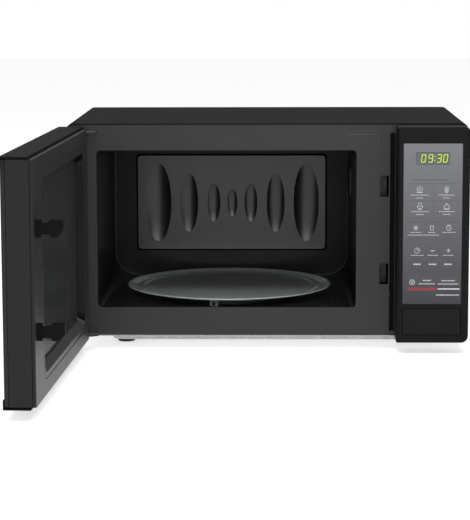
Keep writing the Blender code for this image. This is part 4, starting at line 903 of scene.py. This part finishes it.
for node, name, look, width in SMALL_PARTS:
    refined(node, name, LOOKS[look], width)

# %% [markdown]
# The hinge plates are painted with the front plate, except for the upward faces of the leaf that the door's
# pin turns on, which take the lighter hinge steel. Faces are picked by where they point and where they lie.

# %% Painted hinge plates
for node in ("lower_hinge_plate", "upper_hinge_plate"):
    plate = bpy.data.objects[node]
    plate.data.materials.append(LOOKS["front"])
    for face in plate.data.polygons:
        face.material_index = 0 if face.normal.z > 0.9 and face.center.y < at(0, -1.5, 0).y else 1

# %% [markdown]
# The two springs are wound from wire and, in the oven, shorten when the button or the latch moves. Here
# each is a refined copy of its imported coil, with a mesh of its own.

# %% Springs
SPRINGS = (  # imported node, piece, joint, axis, travel
    ("button_spring", "button_return_spring", "button_press", Y, 4.5),
    ("latch_spring", "latch_return_spring", "latch_lift", Z, 4.0),
)
for node, name, joint, axis, travel in SPRINGS:
    low, high = span(node)
    spring = refined(node, name, LOOKS["steel"], 0)
    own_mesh(spring)


# %% [markdown]
# The feet are soft rubber pads, turned in one profile with a rounded sole and a shallow hollow that grips
# the counter.

# %% Feet
for node in ("foot_front_left", "foot_front_right", "foot_rear_left", "foot_rear_right"):
    low, high = span(node)
    spot = ((low.x + high.x) / 2, (low.y + high.y) / 2, 0)
    foot = lathe([(7.6, 0.8), (8.2, 0), (9.2, 0), (9.8, 0.4), (10, 1.2), (9.3, high.z)], spot, sides=48)
    done(foot, node.replace("foot", "rubber_foot"), "oven", "foot_rubber", LOOKS["rubber"], node)

# %% [markdown]
# ## The control panel
# The panel is a deep moulded case, open at the back. Its outline is softer on the right, where it meets
# the cabinet's side, and its front edges are rounded all round. A shallow bed is cut in its face for
# the keypad film, and a window for the button.

# %% Panel case
CASE_WALL, FILM_GAP = 2.2, 0.3
case_low, case_high = span("control_housing")
film_low, film_high = span("keypad_overlay")
case = block(case_low, case_high)
mode("EDIT")
for right, upper, radius in ((True, False, 8), (True, True, 6), (False, False, 2), (False, True, 2)):
    edge_x = at((case_high if right else case_low).x, 0, 0).x
    edge_z = at(0, 0, (case_high if upper else case_low).z).z
    choose("EDGE", lambda edge: runs_along(edge, 1) and abs(middle(edge).x - edge_x) < 0.1 * MM
           and abs(middle(edge).z - edge_z) < 0.1 * MM)
    bpy.ops.mesh.bevel(offset=radius * MM, segments=8, affect="EDGES")
front_y = at(0, case_low.y, 0).y
choose("EDGE", lambda edge: all(abs(vert.co.y - front_y) < 0.02 * MM for vert in edge.verts))
bpy.ops.mesh.bevel(offset=2.4 * MM, segments=5, affect="EDGES")
mode("OBJECT")
carve(
    case,
    slab((case_low.x + CASE_WALL, case_low.y + 2.5, case_low.z + CASE_WALL),
         (case_high.x - CASE_WALL, 5, case_high.z - CASE_WALL), Y, 3, 5),
    slab((380.1, case_low.y - 3, 21.6), (446.5, case_low.y + 6, 52.6), Y, 2.2, 6),
    slab((film_low.x - FILM_GAP, case_low.y - 3, film_low.z - FILM_GAP),
         (film_high.x + FILM_GAP, case_low.y + 0.6, film_high.z + FILM_GAP), Y, 1.6, 5),
    slab((394.0, case_low.y - 3, 215.1), (432.2, case_low.y + 6, 229.1), Y, 0.8, 3),
)
ease(case, 0.2, 2, 40)
done(case, "panel_case", "oven", "panel_plastic", LOOKS["panel"], "control_housing")

# %% [markdown]
# The keypad is one printed film over a row of switches. The film is a thin rounded plate with a window
# for the display, and behind that window lies a smoked lens of its own.

# %% Keypad film and display window
film = slab(film_low, film_high, Y, 1.4, 6)
carve(film, slab((394.1, film_low.y - 1, 215.2), (432.1, film_low.y + 2, 229.0), Y, 0.7, 3))
ease(film, 0.12, 2, 40)
done(film, "keypad_film", "oven", "keypad_film", LOOKS["keypad"], "keypad_overlay")
lens_low, lens_high = span("display_lens")
lens = slab(lens_low, lens_high, Y, 0.6, 3)
ease(lens, 0.15, 2, 40)
done(lens, "display_window", "oven", "display_lens", LOOKS["lens"], "display_lens")

# %% [markdown]
# Every printed mark is a thin raised stroke. One stroke is modelled, and copied to its place, length and
# angle each time. A ring is an even run of short strokes. The words are left out, and short dashes of
# seeded lengths stand in their places.

# %% Strokes, rings and dashes
FACE = film_low.y
stroke = block((-0.5, -0.06, -0.5), (0.5, 0.1, 0.5))
stroke.name = "stroke"
stroke.data.transform(Matrix.Translation(-CORNER))
chance = Random(7)


def bar(x, z, length, height, turn=0.0, sink=0.0):
    """One printed stroke, centred on a place of the panel's face, in millimetres and degrees."""
    obj = bpy.data.objects.new("stroke_copy", stroke.data.copy())
    bpy.context.scene.collection.objects.link(obj)
    place, size = Matrix.Translation(at(x, FACE + sink, z)), Matrix.Diagonal((length, 1, height, 1))
    obj.data.transform(place @ Matrix.Rotation(radians(-turn), 4, "Y") @ size)
    return obj


def ring(x, z, radius, width, start=0, end=360, count=14):
    """A ring or an arc of short strokes, each a little longer than its share so that they meet."""
    step = (end - start) / count
    length = 2 * radius * sin(radians(step) / 2) * 1.12
    made = []
    for index in range(count):
        turn = start + step * (index + 0.5)
        made.append(
            bar(x + radius * cos(radians(turn)), z + radius * sin(radians(turn)), length, width, turn + 90)
        )
    return made


def dashes(x, z, width, height=0.75):
    """A line of small print, as a few dashes with narrow gaps between them."""
    made, left = [], x - width / 2
    while left < x + width / 2 - 0.5:
        length = min(chance.uniform(1.1, 2.6), x + width / 2 - left)
        made.append(bar(left + length / 2, z, length, height))
        left += length + 0.45
    return made


# %% [markdown]
# The upper four keys are programmes: a defrost dial, an ear of corn, a cup and a covered dish, each with
# two lines of small print below it.

# %% Programme keys
light = []
for x, z in ((398.5, 187.3), (428.7, 187.4), (399, 168.7), (429, 168.8)):
    light += dashes(x, z - 6.4, 20 if x < 420 else 18) + dashes(x, z - 9.6, 8.5)
light += ring(398.5, 187.4, 2.9, 0.6)
light += [bar(398.5, 183.8, 7, 0.7), bar(398.5, 187.4, 2.6, 0.6), bar(398.5, 187.4, 0.6, 2.6)]
light += [bar(428.7, 187.4, 0.7, 7)]
light += [
    bar(428.7 + side * 1.4, 187.4 + up, 3.6, 0.55, side * 52) for side in (1, -1) for up in (1.4, -0.9, -3)
]
light += ring(399, 168.4, 2.9, 0.6, 180, 360, 8) + [bar(399, 168.6, 7, 0.65), bar(399, 164.6, 4, 0.6)]
light += [bar(399 + step, 171.4, 0.55, 2.6) for step in (-1.7, 0, 1.7)]
light += ring(429, 167.2, 3, 0.6, -10, 190, 10)
light += [bar(429, 166, 7, 0.65), bar(429, 171.2, 1.4, 1.0), bar(429, 164.5, 5, 0.55)]

# %% [markdown]
# Below them come a star, a glass and a timer, then a clock with a minus and a plus, three plain number
# keys, and the stop and start keys with their signs.

# %% Timer, number, stop and start marks
for x, first, second in ((394.6, 12, 18), (412.6, 8, 17), (431.5, 15, 0)):
    light += dashes(x, 138.9, first) + (dashes(x, 135.8, second) if second else [])
light += [bar(394.6, 143.9, 6.4, 0.6, turn) for turn in (0, 60, 120)] + ring(
    394.6, 143.9, 1.5, 0.5, count=8
)
light += [bar(410.9 + step, 144.1, 0.6, 5.6) for step in (0, 3.4)] + [
    bar(412.6, 146, 4, 0.6), bar(412.6, 141.6, 4, 0.6)
]
light += ring(431.5, 143.7, 2.6, 0.55, count=12) + [
    bar(431.5, 147.0, 4.2, 0.6), bar(431.5, 143.7, 2.4, 0.55)
]
light += ring(396.4, 118.3, 2.9, 0.55) + [bar(396.4, 119.3, 0.6, 2.2), bar(397.3, 118.3, 2, 0.6)]
light += [bar(413.8, 118, 4.4, 0.9), bar(431.4, 118.4, 4.4, 0.9), bar(431.4, 118.4, 0.9, 4.4)]
for x, width in ((396.5, 14.5), (413.9, 11.5), (431.2, 11.5)):
    light += dashes(x, 112.9, width) + dashes(x, 102.7, 8.5, 1.6)
light += ring(391.2, 82.3, 2.6, 0.8, count=10) + [
    bar(391.2, 82.3, 2.6, 0.8, 45), bar(391.2, 82.3, 2.6, 0.8, -45)
]
light += dashes(407.8, 84.3, 9, 1.2) + dashes(407.8, 80.4, 18, 1.0)
light += dashes(431.6, 84.0, 15, 1.2) + dashes(431.6, 80.2, 23, 1.0)
light += dashes(431, 67.7, 26, 1.2)
dark = [bar(414.3, 174.9, 0.4, 33.8), bar(413.8, 174.5, 57.6, 0.4), bar(413.8, 193.7, 57.6, 0.45)]
dark += [bar(413.8, z, 57.6, 0.4) for z in (155.2, 149.8, 131.4, 126.3, 97.4, 91.4)]
dark += dashes(411, 198, 38, 0.9)
print("printed strokes:", len(light) + len(dark))

# %% [markdown]
# The display shows a time in seven-segment digits. Each digit is the list of its lit segments, and each
# segment is one stroke; the whole digit leans a little, as on most displays.

# %% Stop and start keys, digits
keys = [bar(401.9, 84.25, 31.0, 11.3, sink=0.03), bar(431.6, 84.25, 26.0, 11.3, sink=0.03)]
red = [bar(402.5, 74.5, 32.1, 3.3)]
white = [bar(432.05, 74.6, 24.7, 1.1)]
LIT = {"0": "abcdef", "9": "abcdfg", "3": "abcdg"}
SEGMENTS = {  # across, up, turn
    "a": (0, 1, 0), "b": (1, 0.5, 90), "c": (1, -0.5, 90), "d": (0, -1, 0),
    "e": (-1, -0.5, 90), "f": (-1, 0.5, 90), "g": (0, 0, 0),
}


def digit(char, x, z, sink=0.0):
    """One seven-segment digit, leaning a little to the right."""
    half_width, half_height = 2.1, 4.2
    made = []
    for name in LIT[char]:
        across, up, turn = SEGMENTS[name]
        length = 2 * half_width - 0.4 if turn == 0 else half_height - 0.4
        made.append(bar(x + across * half_width + up * half_height * 0.12, z + up * half_height, length, 1.0,
                        turn - (7 if turn else 0), sink=sink))
    return made


# %% [markdown]
# Strokes of one colour are joined into one piece, so that the keypad stays a handful of pieces.

# %% Joined marks
lens_x, lens_z = lens_low.x, (lens_low.z + lens_high.z) / 2
DIGITS = (("0", 8.3), ("9", 16.2), ("3", 25.8), ("0", 32.7))
lit, shade = [], []
for char, offset in DIGITS:
    lit += digit(char, lens_x + offset, lens_z)
    shade += digit(char, lens_x + offset + 0.7, lens_z - 0.7, sink=0.035)
lit += [bar(lens_x + 21 + up * 0.3, lens_z + up * 2.1, 1.0, 1.0) for up in (-1, 1)]
for name, strokes, look, slot_name in (
    ("keypad_marks", light, "print_light", "keypad_film"),
    ("keypad_lines", dark, "print_dark", "keypad_film"),
    ("stop_start_keys", keys, "key_band", "keypad_film"),
    ("red_key_bar", red, "print_red", "keypad_film"),
    ("white_key_bar", white, "print_white", "keypad_film"),
    ("display_digits", lit, "digits", "display_glow"),
    ("display_digit_shade", shade, "digit_shade", "display_glow"),
):
    done(together(strokes), name, "oven", slot_name, LOOKS[look])
bpy.data.objects.remove(stroke)

# %% [markdown]
# ## The door
# The door is modelled shut and then swung open about its hinge. It is a moulded frame behind a black
# glass, with a cap along its top and its bottom edge, and an inner cover whose window is sunk between
# sloping walls. Behind the window lie a tinted film and the perforated steel screen.

# %% Door frame and glass
frame_low, frame_high = span("door_frame", shut=True)
glass_low, glass_high = span("door_glass", shut=True)
DOOR_WALL, DOOR_RIM = 2.5, 34
shell = slab(frame_low, frame_high, Y, 1.6, 4)
carve(
    shell,
    slab((frame_low.x + DOOR_WALL, frame_low.y + 2.3, frame_low.z + DOOR_WALL),
         (frame_high.x - DOOR_WALL, frame_high.y + 5, frame_high.z - DOOR_WALL), Y, 1.2, 3),
    slab((frame_low.x + DOOR_RIM, frame_low.y - 5, frame_low.z + DOOR_RIM),
         (frame_high.x - DOOR_RIM, frame_high.y + 5, frame_high.z - DOOR_RIM), Y, 6, 6),
)
ease(shell, 0.4, 2, 40)
done(
    shell, "door_shell", "door", "door_plastic", [LOOKS["door"], LOOKS["weave"]], "door_frame", opened=True
)
for face in shell.data.polygons:
    face.material_index = 1 if face.normal.y < -0.9 else 0
pane = slab(glass_low, glass_high, Y, 0.8, 4)
ease(pane, 0.3, 3, 40)
done(pane, "door_pane", "door", "black_glass", LOOKS["pane"], "door_glass", opened=True)

# %% [markdown]
# A cap closes the door along its top and another along its bottom. Each hooks over the glass, so it is a
# bar with one long step cut out of its back.

# %% Door caps
for node, name, sign in (("door_cap_top", "door_top_cap", 1), ("door_cap_bottom", "door_bottom_cap", -1)):
    low, high = span(node, shut=True)
    cap = block(low, high)
    level = (glass_high.z + 0.6) if sign > 0 else (glass_low.z - 0.6)
    inner = (low.z - 5, level) if sign > 0 else (level, high.z + 5)
    carve(cap, block((low.x - 5, low.y + 1.1, inner[0]), (high.x + 5, high.y + 5, inner[1])))
    ease(cap, 0.35, 3, 40)
    done(cap, name, "door", "door_plastic", LOOKS["door"], node, opened=True)

# %% [markdown]
# The inner cover is a flat frame with a deep lining round its window. The window is cut with a tool that
# narrows towards the glass, which leaves sloping walls. A fine groove, cut with a thin frame, runs round
# the window on the cover's face.

# %% Inner cover
cover_low, cover_high = span("choke_cover", shut=True)
WINDOW_LOW, WINDOW_HIGH, WINDOW_TAPER = Vector((33, 0, 34.5)), Vector((318, 0, 230)), 15
face_y = cover_high.y


def round_window(grow, near, far, radius, steps):
    """A rounded box round the window, grown by so much on each side, between two depths."""
    return slab((WINDOW_LOW.x - grow, near, WINDOW_LOW.z - grow),
                (WINDOW_HIGH.x + grow, far, WINDOW_HIGH.z + grow), Y, radius, steps)


inner = slab(
    (cover_low.x, face_y - 3.3, frame_low.z + 0.8), (frame_high.x, face_y, frame_high.z - 0.8), Y, 1.2, 4
)
carve(inner, round_window(3, cover_low.y, face_y - 2, 16, 10), way="UNION")
sink = round_window(0, cover_low.y - 1, face_y + 1, 13, 12)
mode("EDIT")
deep_y = at(0, cover_low.y, 0).y
choose("VERT", lambda vert: vert.co.y < deep_y)
middle_of_window = at((WINDOW_LOW.x + WINDOW_HIGH.x) / 2, cover_low.y, (WINDOW_LOW.z + WINDOW_HIGH.z) / 2)
window_size = WINDOW_HIGH - WINDOW_LOW
narrower = (1 - WINDOW_TAPER / window_size.x, 1, 1 - WINDOW_TAPER / window_size.z)
bpy.ops.transform.resize(value=narrower, center_override=middle_of_window)
mode("OBJECT")
carve(inner, sink)
groove = round_window(6, face_y - 0.7, face_y + 2, 18, 12)
carve(groove, round_window(5, face_y - 2, face_y + 4, 17, 12))
carve(inner, groove)
ease(inner, 0.4, 2, 40)
paints = [LOOKS[look] for look in ("inner", "recess", "weave", "seam")]
done(inner, "door_inner_cover", "door", "choke_plastic", paints, "choke_cover", opened=True)

# %% [markdown]
# One piece carries four finishes. The sunk walls are dark, the ledge below the window is painted pale where
# it faces up, a painted highlight, the free end has the moulded grid, and all the rest is the cover's own
# satin plastic.

# %% Inner cover's finishes and the tinted film
shut = OPEN.inverted()
for face in inner.data.polygons:
    spot = (shut @ face.center - CORNER) / MM
    sunk = (WINDOW_LOW.x + 0.2 < spot.x < WINDOW_HIGH.x - 0.2
            and WINDOW_LOW.z + 0.2 < spot.z < WINDOW_HIGH.z - 0.2)
    if sunk and spot.y < face_y - 0.9:
        # sunk faces that turn up get the pale paint: a painted highlight on the ledge
        face.material_index = 3 if face.normal.z > 0.5 else 1
    else:
        face.material_index = 2 if face.normal.y < -0.9 else 0
low, high = span("window_film", shut=True)
tint = slab(low, high, Y, 8, 8)
ease(tint, 0.1, 1, 40)
done(tint, "door_window", "door", "window_film", LOOKS["film"], "window_film", opened=True)

# %% [markdown]
# ## Floor, light and camera
# The set is a flat white floor with one large soft light above and softer ones from the front and the
# sides. The world is white where the camera sees it and dimmer where it lights the oven, which keeps
# the black surfaces black and still puts a clean white behind them.

# %% Floor
bpy.ops.object.select_all(action="DESELECT")
bpy.ops.mesh.primitive_plane_add(size=12, location=(0, 2, -0.0004))
floor = bpy.context.object
floor.name = "studio_floor"
paper, shader, add, join = blank("white paper")
grain = add(
    "TexNoise", {"Vector": add("TexCoord").outputs["Object"], "Scale": 60, "Detail": 3}
).outputs["Fac"]
join("Base Color", ramp(add, grain, (0.3, (0.93, 0.93, 0.93, 1)), (0.7, (0.95, 0.95, 0.95, 1))))
join("Roughness", 0.9)
join("Specular IOR Level", 0.1)
join("Emission Color", (1, 1, 1, 1))
join("Emission Strength", 0.56)
floor.data.materials.append(paper)

# %% [markdown]
# The world has two backgrounds. A Light Path node shows the camera the white one, and gives everything
# else the dimmer one, so that white can't wash out the black oven.

# %% World
WORLD_LIGHT = 0.42
world = bpy.data.worlds.new("studio")
bpy.context.scene.world = world
world.use_nodes = True
tree = world.node_tree
tree.nodes.clear()
seen, lighting = tree.nodes.new("ShaderNodeBackground"), tree.nodes.new("ShaderNodeBackground")
seen.inputs["Color"].default_value = (1, 1, 1, 1)
seen.inputs["Strength"].default_value = 1.0
lighting.inputs["Color"].default_value = (1, 1, 1, 1)
lighting.inputs["Strength"].default_value = WORLD_LIGHT
path, mix, out = (tree.nodes.new("ShaderNode" + kind) for kind in ("LightPath", "MixShader", "OutputWorld"))
tree.links.new(path.outputs["Is Camera Ray"], mix.inputs["Fac"])
tree.links.new(lighting.outputs["Background"], mix.inputs[1])
tree.links.new(seen.outputs["Background"], mix.inputs[2])
tree.links.new(mix.outputs["Shader"], out.inputs["Surface"])

# %% [markdown]
# Four large area lights do the rest. Size makes them soft: the top one draws the pale sheen on the cover,
# the front one opens up the cavity, and the left one models the door.

# %% Lights
def soft_light(name, place, target, width, height, watts):
    """A rectangular light that faces a target."""
    lamp = bpy.data.lights.new(name, "AREA")
    lamp.shape, lamp.size, lamp.size_y, lamp.energy = "RECTANGLE", width, height, watts
    obj = bpy.data.objects.new(name, lamp)
    bpy.context.scene.collection.objects.link(obj)
    obj.location = place
    obj.rotation_euler = (Vector(target) - Vector(place)).to_track_quat("-Z", "Y").to_euler()


soft_light("top_light", (0.0, -0.5, 1.9), (0, 0.0, 0), 2.2, 1.4, 22)
soft_light("front_light", (0.1, -2.7, 0.75), (0, 0, 0.14), 1.4, 0.8, 19)
soft_light("left_light", (-2.2, -0.9, 0.9), (0, 0, 0.1), 1.0, 1.4, 10)
soft_light("right_light", (2.2, -0.9, 0.9), (0, 0, 0.1), 1.0, 1.4, 2.5)

# %% [markdown]
# The camera stands well back with a long lens and looks slightly down, so that the front stays nearly
# square, the top shows as a narrow band, and the open door comes towards the viewer.

# %% Camera
EYE = at(238.265, -2230.619, 425.981)
HEADING, LOOKS_DOWN, ROLL = 1.215, 8.242, -0.151
optics = bpy.data.cameras.new("camera")
optics.lens, optics.sensor_width = 136.53, 36
camera = bpy.data.objects.new("camera", optics)
bpy.context.scene.collection.objects.link(camera)
turn = Matrix.Rotation(radians(HEADING), 4, "Z") @ Matrix.Rotation(radians(90 - LOOKS_DOWN), 4, "X")
camera.matrix_world = Matrix.Translation(EYE) @ turn @ Matrix.Rotation(radians(ROLL), 4, "Z")
bpy.context.scene.camera = camera
bpy.context.scene.view_settings.view_transform = "Standard"
